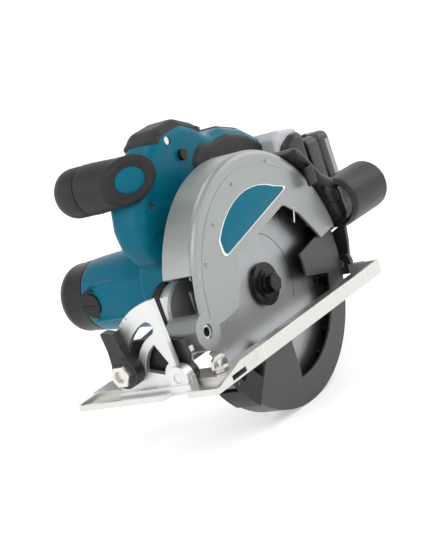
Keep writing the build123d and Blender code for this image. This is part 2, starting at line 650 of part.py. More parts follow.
def lock_button():
    """Spindle lock button on the front of the gear housing."""
    front = MOTOR_X + MOTOR_RADIUS - 2
    under = front + LOCK_TRAVEL + FREE_GAP
    button = disc_x(5, under, under + 5, LOCK_Y, MOTOR_Z)
    return button + disc_x(2.5, front - 8, under, LOCK_Y, MOTOR_Z)


def gear_outline(teeth, shift, turn, x, z):
    """Involute spur gear outline in (x, z); turn is the angle of one tooth's centre line."""
    pressure = radians(20)
    pitch = GEAR_MODULE * teeth / 2
    base = pitch * cos(pressure)
    tip = pitch + GEAR_MODULE * (GEAR_ADDENDUM + shift)
    root = pitch - GEAR_MODULE * (1.25 - shift)
    thickness = GEAR_MODULE * (pi / 2 + 2 * shift * tan(pressure)) - GEAR_BACKLASH
    half_at_pitch = thickness / (2 * pitch)
    inv_pressure = tan(pressure) - pressure
    flank = []
    low = max(base, root)
    for step in range(5):
        radius = low + (tip - low) * step / 4
        local = acos(min(1.0, base / radius))
        flank.append((radius, half_at_pitch + inv_pressure - (tan(local) - local)))
    if root < base:
        flank.insert(0, (root, flank[0][1]))
    points = []
    for tooth in range(teeth):
        middle = radians(turn) + 2 * pi * tooth / teeth
        for radius, half in flank:
            points.append((x + radius * cos(middle - half), z + radius * sin(middle - half)))
        for radius, half in reversed(flank):
            points.append((x + radius * cos(middle + half), z + radius * sin(middle + half)))
    return make_face(Polyline(*points, close=True))


def spindle_gear():
    """Output gear, with a tooth on the line to the pinion."""
    gear = slab_y(gear_outline(GEAR_TEETH, -0.5, GEAR_ANGLE, ARBOR_X, ARBOR_Z), GEAR_BACK, GEAR_FRONT)
    return gear - disc_y(SPINDLE_RADIUS, GEAR_BACK - 1, GEAR_FRONT + 1, ARBOR_X, ARBOR_Z)


def armature_shaft():
    """Motor shaft with the pinion cut on its end, a tooth space facing the gear."""
    space = GEAR_ANGLE + 180 + 180 / PINION_TEETH
    pinion = slab_y(gear_outline(PINION_TEETH, 0.5, space, MOTOR_X, MOTOR_Z), GEAR_BACK - 1, GEAR_FRONT + 1)
    shaft = disc_y(4.0, END_COVER + 8, GEAR_BACK - 1, MOTOR_X, MOTOR_Z)
    return pinion + shaft


def spindle():
    """Output spindle with its collar and the nose that centres the blade."""
    bar = disc_y(SPINDLE_RADIUS, MOTOR_START + 2.8, SPINDLE_NOSE, ARBOR_X, ARBOR_Z)
    bar += disc_y(BLADE_BORE - 0.03, SPINDLE_NOSE - 1.5, BLADE_FRONT - 0.2, ARBOR_X, ARBOR_Z)
    return bar - disc_y(BOLT_RADIUS, -6, BLADE_FRONT + 1, ARBOR_X, ARBOR_Z)


# ---------------------------------------------------------------- blade
def blade_body():
    """Blade plate with gullets and four expansion slots."""
    pitch = 360 / BLADE_TEETH
    points = []
    for tooth in range(BLADE_TEETH):
        lead = tooth * pitch
        points.append(polar(BLADE_RADIUS - 0.6, lead))
        points.append(polar(BLADE_RADIUS - 6.5, lead - 0.8))
        points.append(polar(BLADE_RADIUS - 8.5, lead + 2.2))
        points.append(polar(BLADE_RADIUS - 5.5, lead + 5.6))
        points.append(polar(BLADE_RADIUS - 2.2, lead + 7.0))
    shape = make_face(Polyline(*reversed(points), close=True))
    shape -= Pos(ARBOR_X, ARBOR_Z) * Circle(BLADE_BORE)
    for quarter in range(4):
        angle = quarter * 90 + 17.5
        x, z = polar(66, angle)
        shape -= Pos(x, z) * Circle(2.2)
        shape -= Pos(x, z) * Rot(0, 0, angle) * Pos(9, 0) * Rectangle(18, 1.0)
    for tooth in range(BLADE_TEETH):
        shape -= tip_outline(tooth)
    return slab_y(shape, BLADE_BACK, BLADE_FRONT)


def tip_outline(tooth):
    """Outline of one carbide tip, in (x, z)."""
    lead = tooth * 360 / BLADE_TEETH
    return outline([
        polar(BLADE_RADIUS, lead + 1.45),
        polar(BLADE_RADIUS - 0.8, lead),
        polar(BLADE_RADIUS - 6.0, lead - 0.75),
        polar(BLADE_RADIUS - 6.0, lead + 0.8),
    ])


def blade_tips():
    """Carbide tips brazed on the front of each tooth, wider than the plate for the kerf."""
    half = BLADE_KERF / 2
    return [slab_y(tip_outline(tooth), BLADE_Y - half, BLADE_Y + half) for tooth in range(BLADE_TEETH)]


def inner_flange():
    ring = disc_y(INNER_FLANGE_RADIUS, SPINDLE_NOSE, BLADE_BACK, ARBOR_X, ARBOR_Z)
    return ring - disc_y(BLADE_BORE, SPINDLE_NOSE - 1, BLADE_BACK + 1, ARBOR_X, ARBOR_Z)


def outer_flange():
    """Clamping flange with a raised hub under the bolt head."""
    flange = disc_y(OUTER_FLANGE_RADIUS, BLADE_FRONT, OUTER_FLANGE_FACE, ARBOR_X, ARBOR_Z)
    flange += disc_y(10, BLADE_FRONT, OUTER_FLANGE_FACE + 1.4, ARBOR_X, ARBOR_Z)
    return flange - disc_y(BOLT_RADIUS, BLADE_FRONT - 1, OUTER_FLANGE_FACE + 2, ARBOR_X, ARBOR_Z)


def blade_bolt():
    """Hexagon bolt that clamps the blade."""
    bolt = disc_y(BOLT_RADIUS, -5, OUTER_FLANGE_FACE + 1.4, ARBOR_X, ARBOR_Z)
    bolt += disc_y(7.6, OUTER_FLANGE_FACE + 1.4, OUTER_FLANGE_FACE + 2.8, ARBOR_X, ARBOR_Z)
    bolt += hexagon_y(12, OUTER_FLANGE_FACE + 2.8, OUTER_FLANGE_FACE + 8, ARBOR_X, ARBOR_Z)
    return bolt


# ---------------------------------------------------------------- lower guard
def lower_guard():
    """Retracting guard: motor-side web and hub, rim, and outer face with a crescent window."""
    disc = slab_y(
        sector(GUARD_HUB_RADIUS - 2, GUARD_RADIUS, GUARD_REAR_ANGLE, GUARD_FRONT_ANGLE),
        GUARD_MOTOR_FACE,
        GUARD_MOTOR_FACE + GUARD_WALL,
    )
    hub = disc_y(GUARD_HUB_RADIUS, GUARD_MOTOR_FACE, GUARD_MOTOR_FACE + 2.4, ARBOR_X, ARBOR_Z)
    hub -= disc_y(BOSS_RADIUS + RUNNING_GAP, GUARD_MOTOR_FACE - 1, GUARD_MOTOR_FACE + 4, ARBOR_X, ARBOR_Z)
    disc -= disc_y(BOSS_RADIUS + 1, GUARD_MOTOR_FACE - 1, GUARD_MOTOR_FACE + 4, ARBOR_X, ARBOR_Z)
    rim = slab_y(
        sector(GUARD_RADIUS - 2.4, GUARD_RADIUS, GUARD_REAR_ANGLE, GUARD_FRONT_ANGLE),
        GUARD_MOTOR_FACE,
        GUARD_BLADE_FACE,
    )
    face = sector(40, GUARD_RADIUS, GUARD_REAR_ANGLE, GUARD_FRONT_ANGLE)
    window = sector(30, 70, -166, -86)
    face_plate = slab_y(face - window, GUARD_BLADE_FACE - GUARD_WALL, GUARD_BLADE_FACE)
    return disc + hub + rim + face_plate


def guard_nose():
    """Moulded nose on the leading end of the guard."""
    shape = sector(70, NOSE_RADIUS, GUARD_FRONT_ANGLE, GUARD_FRONT_ANGLE + 14)
    nose = slab_y(shape, GUARD_MOTOR_FACE, GUARD_BLADE_FACE)
    arm = sector(NOSE_RADIUS - 7, NOSE_RADIUS, GUARD_FRONT_ANGLE + 13, GUARD_FRONT_ANGLE + 20)
    nose += slab_y(arm, GUARD_MOTOR_FACE, GUARD_MOTOR_FACE + ROLLER_ARM)
    nose += slab_y(arm, GUARD_BLADE_FACE - ROLLER_ARM, GUARD_BLADE_FACE)
    nose -= disc_y(1.1, GUARD_MOTOR_FACE - 1, GUARD_BLADE_FACE + 1, *roller_spot())
    return nose - disc_y(BLADE_RADIUS + 2, BLADE_Y - 4, BLADE_Y + 4, ARBOR_X, ARBOR_Z)


def roller_spot():
    return polar(NOSE_RADIUS - 3.1, GUARD_FRONT_ANGLE + 17)


def guard_roller():
    """Small roller that rides on the edge of the work, with stub axles in the nose's arms."""
    x, z = roller_spot()
    roller = disc_y(2.8, GUARD_MOTOR_FACE + ROLLER_ARM + 0.1, GUARD_BLADE_FACE - ROLLER_ARM - 0.1, x, z)
    return roller + disc_y(1.0, GUARD_MOTOR_FACE + 0.2, GUARD_BLADE_FACE - 0.2, x, z)


def guard_spring():
    """Return spring coiled round the boss, between the case wall and the guard hub."""
    wire = 0.55
    helix = Helix(pitch=1.3, height=1.3, radius=BOSS_RADIUS + 2.2)
    start = Plane(origin=helix @ 0, z_dir=helix % 0)
    coil = sweep(start * Circle(wire), path=helix)
    return Pos(ARBOR_X, CASE_MOTOR_FACE + 2.1, ARBOR_Z) * Rot(90, 0, 0) * coil


def guard_snap_ring():
    return disc_y(BOSS_RADIUS + 1.6, 11.05, 11.8, ARBOR_X, ARBOR_Z, BOSS_RADIUS - 0.9)


# ---------------------------------------------------------------- motor
def motor_sketch(radius):
    return Pos(MOTOR_X, MOTOR_Z) * Circle(radius)


def tapered(radius0, y0, radius1, y1):
    """Round solid along Y that tapers from radius0 at y0 to radius1 at y1."""
    return loft([facing_y(y0) * motor_sketch(radius0), facing_y(y1) * motor_sketch(radius1)])


def motor_housing():
    """Motor tube, parallel over the field magnets and tapering towards its end."""
    knee = -62.0
    shell = disc_y(MOTOR_RADIUS, knee, MOTOR_START, MOTOR_X, MOTOR_Z)
    shell += tapered(MOTOR_RADIUS, knee, MOTOR_END_RADIUS + 2.5, MOTOR_END)
    void = disc_y(MOTOR_RADIUS - MOTOR_WALL, knee, MOTOR_START + 1, MOTOR_X, MOTOR_Z)
    void += tapered(MOTOR_RADIUS - MOTOR_WALL, knee, MOTOR_END_RADIUS + 2.5 - MOTOR_WALL, MOTOR_END - 0.01)
    housing = shell - void
    housing -= brush_bores()
    return housing


def brush_bores():
    """Bores for the two brush holders, in front of and behind the shaft."""
    return disc_x(BRUSH_CAP_RADIUS + 0.1, MOTOR_X - 60, MOTOR_X + 60, BRUSH_Y, MOTOR_Z)


def end_cover():
    """Domed cap over the commutator end with its bearing seat."""
    cap = tapered(MOTOR_END_RADIUS + 2.5, MOTOR_END, MOTOR_END_RADIUS - 1, END_COVER)
    edge = [e for e in cap.edges().filter_by(GeomType.CIRCLE) if abs(e.center().Y - END_COVER) < 0.01]
    cap = fillet(edge, 9)
    void = disc_y(MOTOR_END_RADIUS - 3.5, END_COVER + 12, MOTOR_END + 1, MOTOR_X, MOTOR_Z)
    void += disc_y(11.0, END_COVER + 5, END_COVER + 13, MOTOR_X, MOTOR_Z)
    return cap - void


def brush_caps():
    """Slotted screw caps over the brushes, one in front and one behind."""
    caps = []
    for side in (1, -1):
        inner = MOTOR_X + side * (MOTOR_END_RADIUS - 1)
        outer = MOTOR_X + side * (MOTOR_END_RADIUS + 5)
        cap = disc_x(BRUSH_CAP_RADIUS, min(inner, outer), max(inner, outer), BRUSH_Y, MOTOR_Z)
        floor = outer - side * 0.6
        past = outer + side
        near, far = min(floor, past), max(floor, past)
        cap -= box(near, far, BRUSH_Y - 6, BRUSH_Y + 6, MOTOR_Z - 0.7, MOTOR_Z + 0.7)
        caps.append(cap)
    return caps


def carbon_brushes():
    """Brushes between the caps and the commutator."""
    brushes = []
    for side in (1, -1):
        near = MOTOR_X + side * 11.4
        far = MOTOR_X + side * (MOTOR_END_RADIUS - 1.2)
        low, high = min(near, far), max(near, far)
        brushes.append(box(low, high, BRUSH_Y - 3.5, BRUSH_Y + 3.5, MOTOR_Z - 2.5, MOTOR_Z + 2.5))
    return brushes


def magnets():
    """Two field magnets inside the motor tube."""
    pieces = []
    for start in (20, 200):
        shape = sector(20.0, MOTOR_RADIUS - MOTOR_WALL - 0.1, start, start + 140, MOTOR_X, MOTOR_Z)
        pieces.append(slab_y(shape, -80 + 18, -36))
    return pieces


# ---------------------------------------------------------------- handle
def handle_outline():
    """Side outline of the D-shaped handle and neck, in (x, z)."""
    points = [
        (24, 76),
        (36, 86),
        (39, 98),
        (34, 116),
        (22, 132),
        (2, 144),
        (-12, 153),
        (-36, 155),
        (-54, 147),
        (-67, 136),
        (-86, 137),
        (-110, 128),
        (-128, 116),
        (-140, 104),
        (-140, 64),
        (-112, 56),
        (-70, 56),
        (-40, 62),
        (-8, 70),
    ]
    return outline(points, [6, 6, 8, 10, 10, 6, 10, 10, 6, 8, 12, 12, 10, 6, 8, 12, 20, 12, 4])


def finger_loop():
    """Opening of the handle, in (x, z)."""
    return outline([(-50, 106), (-44, 84), (-70, 76), (-112, 76), (-122, 92), (-104, 106), (-84, 110)], 8)


def half_shell(side):
    """One clam-shell half of the handle; side is +1 for the blade side."""
    edge_y = HANDLE_Y + side * HANDLE_HALF
    lo, hi = min(HANDLE_Y, edge_y), max(HANDLE_Y, edge_y)
    outer = slab_y(handle_outline() - finger_loop(), lo, hi)
    rim = outer.faces().sort_by(Axis.Y)[-1 if side > 0 else 0].edges()
    outer = fillet(rim, 5.0)
    inner_shape = offset(handle_outline(), amount=-HANDLE_WALL) - offset(finger_loop(), amount=HANDLE_WALL)
    inner_edge = edge_y - side * HANDLE_WALL
    inner = slab_y(inner_shape, min(HANDLE_Y - 1, inner_edge), max(HANDLE_Y + 1, inner_edge))
    shell = outer - inner
    shell -= disc_y(MOTOR_RADIUS, lo - 1, hi + 1, MOTOR_X, MOTOR_Z)
    shell -= gear_shell(0)
    shell -= disc_y(GRIP_RADIUS, GRIP_TIP, GRIP_FACE + 20, GRIP_X, GRIP_Z)
    shell -= box(*TRIGGER_SLOT_X, HANDLE_Y - TRIGGER_HALF - 0.4, HANDLE_Y + TRIGGER_HALF + 0.4, 103, 115)
    shell -= disc_y(LOCK_OFF_RADIUS + 0.15, lo - 1, hi + 1, *LOCK_OFF_SPOT)
    shell -= mount_outside()
    for x, z in handle_screw_spots():
        shell -= disc_y(1.7, lo - 1, hi - 4 if side > 0 else hi + 1, x, z)
        if side > 0:
            shell -= disc_y(3.2, hi - 4, hi + 1, x, z)
    if side < 0:
        shell -= box(-200, 60, HANDLE_Y, HANDLE_Y + 3, 0, 200)
    else:
        shell -= box(-200, 60, HANDLE_Y - 3, HANDLE_Y, 0, 200)
    return shell


def handle_screw_spots():
    return [(-96, 66), (-20, 80), (24, 108), (-16, 144), (-98, 121)]


def handle_screws():
    """Screws that join the two halves, with heads on the blade side."""
    screws = []
    near = HANDLE_Y + HANDLE_HALF
    for x, z in handle_screw_spots():
        screws.append(disc_y(1.6, HANDLE_Y - 10, near - 4, x, z) + disc_y(3.1, near - 4, near - 1, x, z))
    return screws


def side_pads():
    """Soft overmoulded pads on both cheeks of the grip."""
    shape = outline([
        (-34, 118),
        (-44, 128),
        (-62, 126),
        (-92, 124),
        (-112, 116),
        (-100, 112),
        (-60, 114),
        (-44, 102),
    ], 3)
    near = HANDLE_Y + HANDLE_HALF
    far = HANDLE_Y - HANDLE_HALF
    return [slab_y(shape, near, near + PAD_THICKNESS), slab_y(shape, far - PAD_THICKNESS, far)]


def top_pad():
    """Soft pad over the crown of the neck."""
    band = offset(handle_outline(), amount=PAD_THICKNESS) - handle_outline()
    region = outline([(-8, 120), (0, 200), (-60, 200), (-58, 120)])
    return slab_y(band & region, HANDLE_Y - 11, HANDLE_Y + 11)


def trigger():
    """Switch trigger under the front of the grip."""
    x0, x1 = TRIGGER_SLOT_X
    shape = outline([
        (x0 + 0.5, 112),
        (x0 + 0.5, 101),
        (x0 + 4, 97),
        (x1 - 6, 94),
        (x1 - 0.5, 96),
        (x1 - 0.5, 112),
    ], 1.5)
    return slab_y(shape, HANDLE_Y - TRIGGER_HALF, HANDLE_Y + TRIGGER_HALF)


def switch_module():
    return box(-88, -48, HANDLE_Y - 8, HANDLE_Y + 8, 118, 131)


def lock_off_button():
    """Cross button beside the trigger."""
    near = HANDLE_Y + HANDLE_HALF + 3
    far = HANDLE_Y - HANDLE_HALF
    return disc_y(LOCK_OFF_RADIUS, far, near, *LOCK_OFF_SPOT)


def front_grip():
    """Round front grip across the neck, cut on a slant at the blade side."""
    bar = disc_y(GRIP_RADIUS, GRIP_SEAM, GRIP_FACE + 16, GRIP_X, GRIP_Z)
    slant = Plane(origin=(GRIP_X, GRIP_FACE, GRIP_Z), z_dir=GRIP_NORMAL)
    cutter = extrude(slant * Rectangle(90, 90), amount=60)
    return bar - cutter


def grip_badge():
    """Blank oval inset on the slanted end of the grip."""
    along = (-1.0, GRIP_NORMAL[0], 0)
    slant = Plane(origin=(GRIP_X, GRIP_FACE, GRIP_Z), x_dir=along, z_dir=GRIP_NORMAL)
    return extrude(slant * Ellipse(10.5, 8.4), amount=0.6)


def front_grip_cap():
    """Rounded end of the front grip beyond its seam."""
    cap = disc_y(GRIP_RADIUS, GRIP_TIP, GRIP_SEAM, GRIP_X, GRIP_Z)
    edge = [e for e in cap.edges().filter_by(GeomType.CIRCLE) if abs(e.center().Y - GRIP_TIP) < 0.01]
    return fillet(edge, 11)


# ---------------------------------------------------------------- battery
def mount_outline():
    """Side outline of the battery mount at the rear of the handle, in (x, z)."""
    return outline([
        (BATTERY_FRONT, BATTERY_BOTTOM + 14),
        (MOUNT_FRONT, BATTERY_BOTTOM + 26),
        (MOUNT_FRONT, 96),
        (MOUNT_FRONT - 12, 104),
        (BATTERY_FRONT + 8, BATTERY_TOP + 8),
        (BATTERY_FRONT, BATTERY_TOP + 8),
    ], [2, 6, 8, 8, 5, 2])


def mount_outside():
    return slab_y(mount_outline(), MOUNT_FAR, MOUNT_NEAR)


def battery_mount():
    """Housing that takes the battery rails; the channel is open towards the motor side."""
    body = mount_outside()
    gap = RAIL_GAP
    rail_end = BATTERY_FRONT + RAIL_DEPTH + gap
    body -= box(BATTERY_FRONT - 1, rail_end, MOUNT_FAR - 1, MOUNT_NEAR - 5, RAIL_LOW - gap, RAIL_HIGH + gap)
    body -= box(BATTERY_FRONT + 15, MOUNT_FRONT - 4, MOUNT_FAR + 4, MOUNT_NEAR - 4, BATTERY_BOTTOM + 32, 94)
    return body


def terminal_block():
    """Contact block inside the mount."""
    x = BATTERY_FRONT + 15.5
    return box(x, x + 12, HANDLE_Y - 18, HANDLE_Y + 18, 66, 88)


def battery_case():
    """Battery pack body with its rails towards the mount."""
    far, near, low = BATTERY_FAR_FACE, BATTERY_NEAR_FACE, BATTERY_BOTTOM
    wall = BATTERY_WALL
    body = box(BATTERY_REAR, BATTERY_FRONT - FREE_GAP, far, near, low, BATTERY_TOP)
    uprights = [e for e in body.edges() if abs(e.center().X - BATTERY_REAR) < 0.01]
    body = fillet(uprights, 5)
    body += box(BATTERY_FRONT - 1, BATTERY_FRONT + RAIL_DEPTH, MOUNT_FAR, MOUNT_NEAR - 6, RAIL_LOW, RAIL_HIGH)
    roof = LATCH_FLOOR - wall
    body -= box(BATTERY_REAR + wall, BATTERY_FRONT - 3, far + wall, near - wall, low + wall, roof)
    body -= box(*LATCH_X, *LATCH_Y, LATCH_FLOOR, BATTERY_TOP + 1)
    return body


def battery_cells():
    """Five cells in one layer, each lying across the pack's width."""
    x = (BATTERY_REAR + BATTERY_FRONT) / 2
    y = BATTERY_NEAR_FACE - BATTERY_LENGTH / 2
    low = BATTERY_BOTTOM + BATTERY_WALL + 0.5
    return [disc_z(CELL_RADIUS, low, low + CELL_LENGTH, x, y + (n - 2) * CELL_PITCH) for n in range(5)]


def battery_latch():
    """Release button in the top of the pack."""
    x0, x1 = LATCH_X
    y0, y1 = LATCH_Y
    gap = FREE_GAP
    return box(x0 + gap, x1 - gap, y0 + gap, y1 - gap, LATCH_FLOOR + 2.5, BATTERY_TOP + 1.5)


# ---------------------------------------------------------------- dust nozzle and motor internals
def dust_nozzle():
    """Elbow on the rear of the blade case with a round outlet pointing back."""
    shape = outline([
        polar(CASE_RADIUS, 126),
        polar(CASE_RADIUS + 12, 131),
        (-112, NOZZLE_Z + NOZZLE_RADIUS - 1),
        (-126, NOZZLE_Z + NOZZLE_RADIUS - 3),
        (-126, NOZZLE_Z - NOZZLE_RADIUS + 3),
        (-116, NOZZLE_Z - 13),
        polar(CASE_RADIUS, 166),
    ])
    shape -= Pos(ARBOR_X, ARBOR_Z) * Circle(CASE_RADIUS)
    body = slab_y(shape, 9, NOZZLE_Y + 6)
    inner = offset(shape, amount=-NOZZLE_WALL)
    body += disc_x(NOZZLE_RADIUS, NOZZLE_END, -124, NOZZLE_Y, NOZZLE_Z)
    body -= slab_y(inner, 9 + NOZZLE_WALL, NOZZLE_Y + 6 - NOZZLE_WALL)
    body -= disc_x(NOZZLE_RADIUS - NOZZLE_WALL, NOZZLE_END - 1, -126, NOZZLE_Y, NOZZLE_Z)
    body -= disc_x(12, -130, -120, NOZZLE_Y - 7, NOZZLE_Z)
    mouth = sector(CASE_RADIUS - 1, CASE_RADIUS + 4, 139, 152)
    body -= slab_y(mouth, 12, 26)
    clip_x, clip_z = polar(CASE_RADIUS + 8, 142)
    return body + box(clip_x - 6, clip_x + 6, NOZZLE_Y + 5, NOZZLE_Y + 7.5, clip_z - 7, clip_z + 7)


def armature_core():
    ring = disc_y(17.0, -84, -38, MOTOR_X, MOTOR_Z)
    for slot in range(12):
        angle = slot * 30
        x = MOTOR_X + 16.5 * cos(radians(angle))
        z = MOTOR_Z + 16.5 * sin(radians(angle))
        ring -= disc_y(1.6, -85, -37, x, z)
    return ring - disc_y(4.0, -85, -37, MOTOR_X, MOTOR_Z)


def commutator():
    return disc_y(11.2, MOTOR_END + 2, MOTOR_END + 16, MOTOR_X, MOTOR_Z, 4.0)


def fan():
    """Cooling fan with radial blades on a back plate."""
    hub = disc_y(8, -35, -26, MOTOR_X, MOTOR_Z) + disc_y(24, -35, -33, MOTOR_X, MOTOR_Z)
    for blade in range(11):
        angle = blade * 360 / 11
        vane = Pos(MOTOR_X, MOTOR_Z) * Rot(0, 0, angle) * Pos(15, 0) * Rectangle(16, 1.2)
        hub += slab_y(vane, -33.2, -26)
    return hub - disc_y(4.0, -36, -25, MOTOR_X, MOTOR_Z)


def armature_bearings():
    return [
        bearing(MOTOR_START, 2.4, 4.0, 10.9, MOTOR_X, MOTOR_Z),
        bearing(END_COVER + 5.2, 7.0, 4.0, 10.9, MOTOR_X, MOTOR_Z),
    ]


def build():
    # base
    save("base_plate", base_plate())
    save("rear_bridge", rear_bridge())
    save("bevel_quadrant", bevel_quadrant())
    front_pin = bevel_pin(TILT_PLATE_BACK, QUADRANT_FRONT + 2.5)
    save("bevel_pins", front_pin, bevel_pin(-HALF_LENGTH - 9.5, -HALF_LENGTH))
    save("fence_screw", fence_screw())
    # tilting frame
    save("front_tilt_plate", front_tilt_plate())
    save("rear_tilt_plate", rear_tilt_plate())
    save("depth_guide", depth_guide())
    save("bevel_clamp_bolt", clamp_bolt())
    save("bevel_lever", bevel_lever())
    save("bevel_clamp_nut", clamp_nut())
    save("bevel_stop_screw", stop_screw())
    save("depth_pivot_pin", pivot_pin())
    # blade case and gears
    save("blade_case", blade_case())
    save("case_badge", case_badge())
    save("gear_housing", gear_housing())
    save("spindle_bearing", bearing(0.0, 10.0, SPINDLE_RADIUS, 15.95, ARBOR_X, ARBOR_Z))
    save("spindle_gear", spindle_gear())
    save("armature_shaft", armature_shaft())
    save("spindle", spindle())
    save("blade", blade_body())
    save("blade_tips", *blade_tips())
    save("inner_flange", inner_flange())
    save("outer_flange", outer_flange())
    save("blade_bolt", blade_bolt())
    save("lower_guard", lower_guard())
    save("guard_nose", guard_nose())
    save("guard_roller", guard_roller())
    save("guard_spring", guard_spring())
    save("guard_snap_ring", guard_snap_ring())
    save("case_screws", *case_screws())
    save("drum_ring", drum_ring())
    save("depth_stud", depth_stud())
    save("depth_lever", depth_lever())
    save("spindle_lock_button", lock_button())
    # motor
    save("motor_housing", motor_housing())
    save("motor_end_cover", end_cover())
    save("brush_caps", *brush_caps())
    save("carbon_brushes", *carbon_brushes())
    save("motor_magnets", *magnets())
    save("handle_blade_side", half_shell(1))
    save("handle_motor_side", half_shell(-1))
    save("handle_screws", *handle_screws())
    save("grip_pads", *side_pads(), top_pad())
    save("trigger", trigger())
    save("switch_module", switch_module())
    save("lock_off_button", lock_off_button())
    save("front_grip", front_grip())
    save("front_grip_cap", front_grip_cap())
    save("grip_badge", grip_badge())
    save("armature_core", armature_core())
    save("commutator", commutator())
    save("cooling_fan", fan())
    save("armature_bearings", *armature_bearings())
    save("dust_nozzle", dust_nozzle())
    save("battery_mount", battery_mount())
    save("terminal_block", terminal_block())
    save("battery_case", battery_case())
    save("battery_cells", *battery_cells())
    save("battery_latch", battery_latch())


build()
os.makedirs("parts", exist_ok=True)
for name, shapes in PARTS.items():
    export_step(Compound(children=shapes) if len(shapes) > 1 else shapes[0], f"parts/{name}.step")
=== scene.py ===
import json
import math

import bmesh
import bpy
from mathutils import Matrix, Vector


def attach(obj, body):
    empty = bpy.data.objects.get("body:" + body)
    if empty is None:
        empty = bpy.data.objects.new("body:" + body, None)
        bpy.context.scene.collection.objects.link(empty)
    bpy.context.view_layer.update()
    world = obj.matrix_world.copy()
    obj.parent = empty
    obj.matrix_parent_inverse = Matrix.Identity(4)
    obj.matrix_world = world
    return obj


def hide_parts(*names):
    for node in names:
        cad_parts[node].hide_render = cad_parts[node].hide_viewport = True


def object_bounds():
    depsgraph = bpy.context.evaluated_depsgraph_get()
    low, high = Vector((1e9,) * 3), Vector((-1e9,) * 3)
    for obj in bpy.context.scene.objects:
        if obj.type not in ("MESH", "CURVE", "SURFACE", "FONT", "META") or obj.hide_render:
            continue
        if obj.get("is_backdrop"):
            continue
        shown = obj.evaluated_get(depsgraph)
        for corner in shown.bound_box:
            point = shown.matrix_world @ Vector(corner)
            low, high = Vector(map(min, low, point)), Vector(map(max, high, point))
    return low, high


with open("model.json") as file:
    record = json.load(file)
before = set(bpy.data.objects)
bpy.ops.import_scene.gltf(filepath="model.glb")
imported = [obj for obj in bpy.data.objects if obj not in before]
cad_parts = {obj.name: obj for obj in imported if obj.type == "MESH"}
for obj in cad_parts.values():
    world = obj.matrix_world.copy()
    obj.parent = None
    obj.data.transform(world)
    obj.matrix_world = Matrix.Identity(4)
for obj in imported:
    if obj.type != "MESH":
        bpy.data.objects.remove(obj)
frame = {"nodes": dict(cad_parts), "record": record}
cad_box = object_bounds()

MM = 0.001
ARBOR = (-22.0, 17.5, 29.4)
MOTOR = (-3.85, 48.19)
HANDLE_MIDDLE = -33.0
HANDLE_HALF = 17.0
GRIP = (38.0, 131.0)
GRIP_RADIUS = 17.0
GRIP_TIP = -76.0
GRIP_SEAM = -52.0
GRIP_FACE = -15.0
GRIP_NORMAL = Vector((0.72, 1.0, -0.22)).normalized()
NOZZLE = (31.5, 55.4)
CASE_FACE = 31.2
FLANGE_Y = 58.0
BEVEL_AXIS = (25.2, 11.2)
QUADRANT_FACE = 102.5
BRUSH_Y = -98.8
STAGE_STEPS = 96
STAGE_FLAT = 3.0
STAGE_CURVE = 1.5
STAGE_HEIGHT = 4.0
STAGE_GLOW = 0.38

TEAL = (0.0, 0.115, 0.180)
BLACK = (0.012, 0.012, 0.013)
RUBBER = (0.022, 0.022, 0.024)


# ---------------------------------------------------------------- materials
def node(tree, kind, **values):
    made = tree.nodes.new(kind)
    for key, value in values.items():
        if hasattr(made, key):
            setattr(made, key, value)
        else:
            made.inputs[key.replace("_", " ")].default_value = value
    return made


def ring_distance(tree, place, centre):
    """Distance from an axis along Y, for machining rings."""
    moved = node(tree, "ShaderNodeVectorMath", operation="SUBTRACT")
    moved.inputs[1].default_value = [c * MM for c in centre]
    flat = node(tree, "ShaderNodeVectorMath", operation="MULTIPLY")
    flat.inputs[1].default_value = (1, 0, 1)
    length = node(tree, "ShaderNodeVectorMath", operation="LENGTH")
    tree.links.new(place, moved.inputs[0])
    tree.links.new(moved.outputs[0], flat.inputs[0])
    tree.links.new(flat.outputs[0], length.inputs[0])
    return length.outputs["Value"]


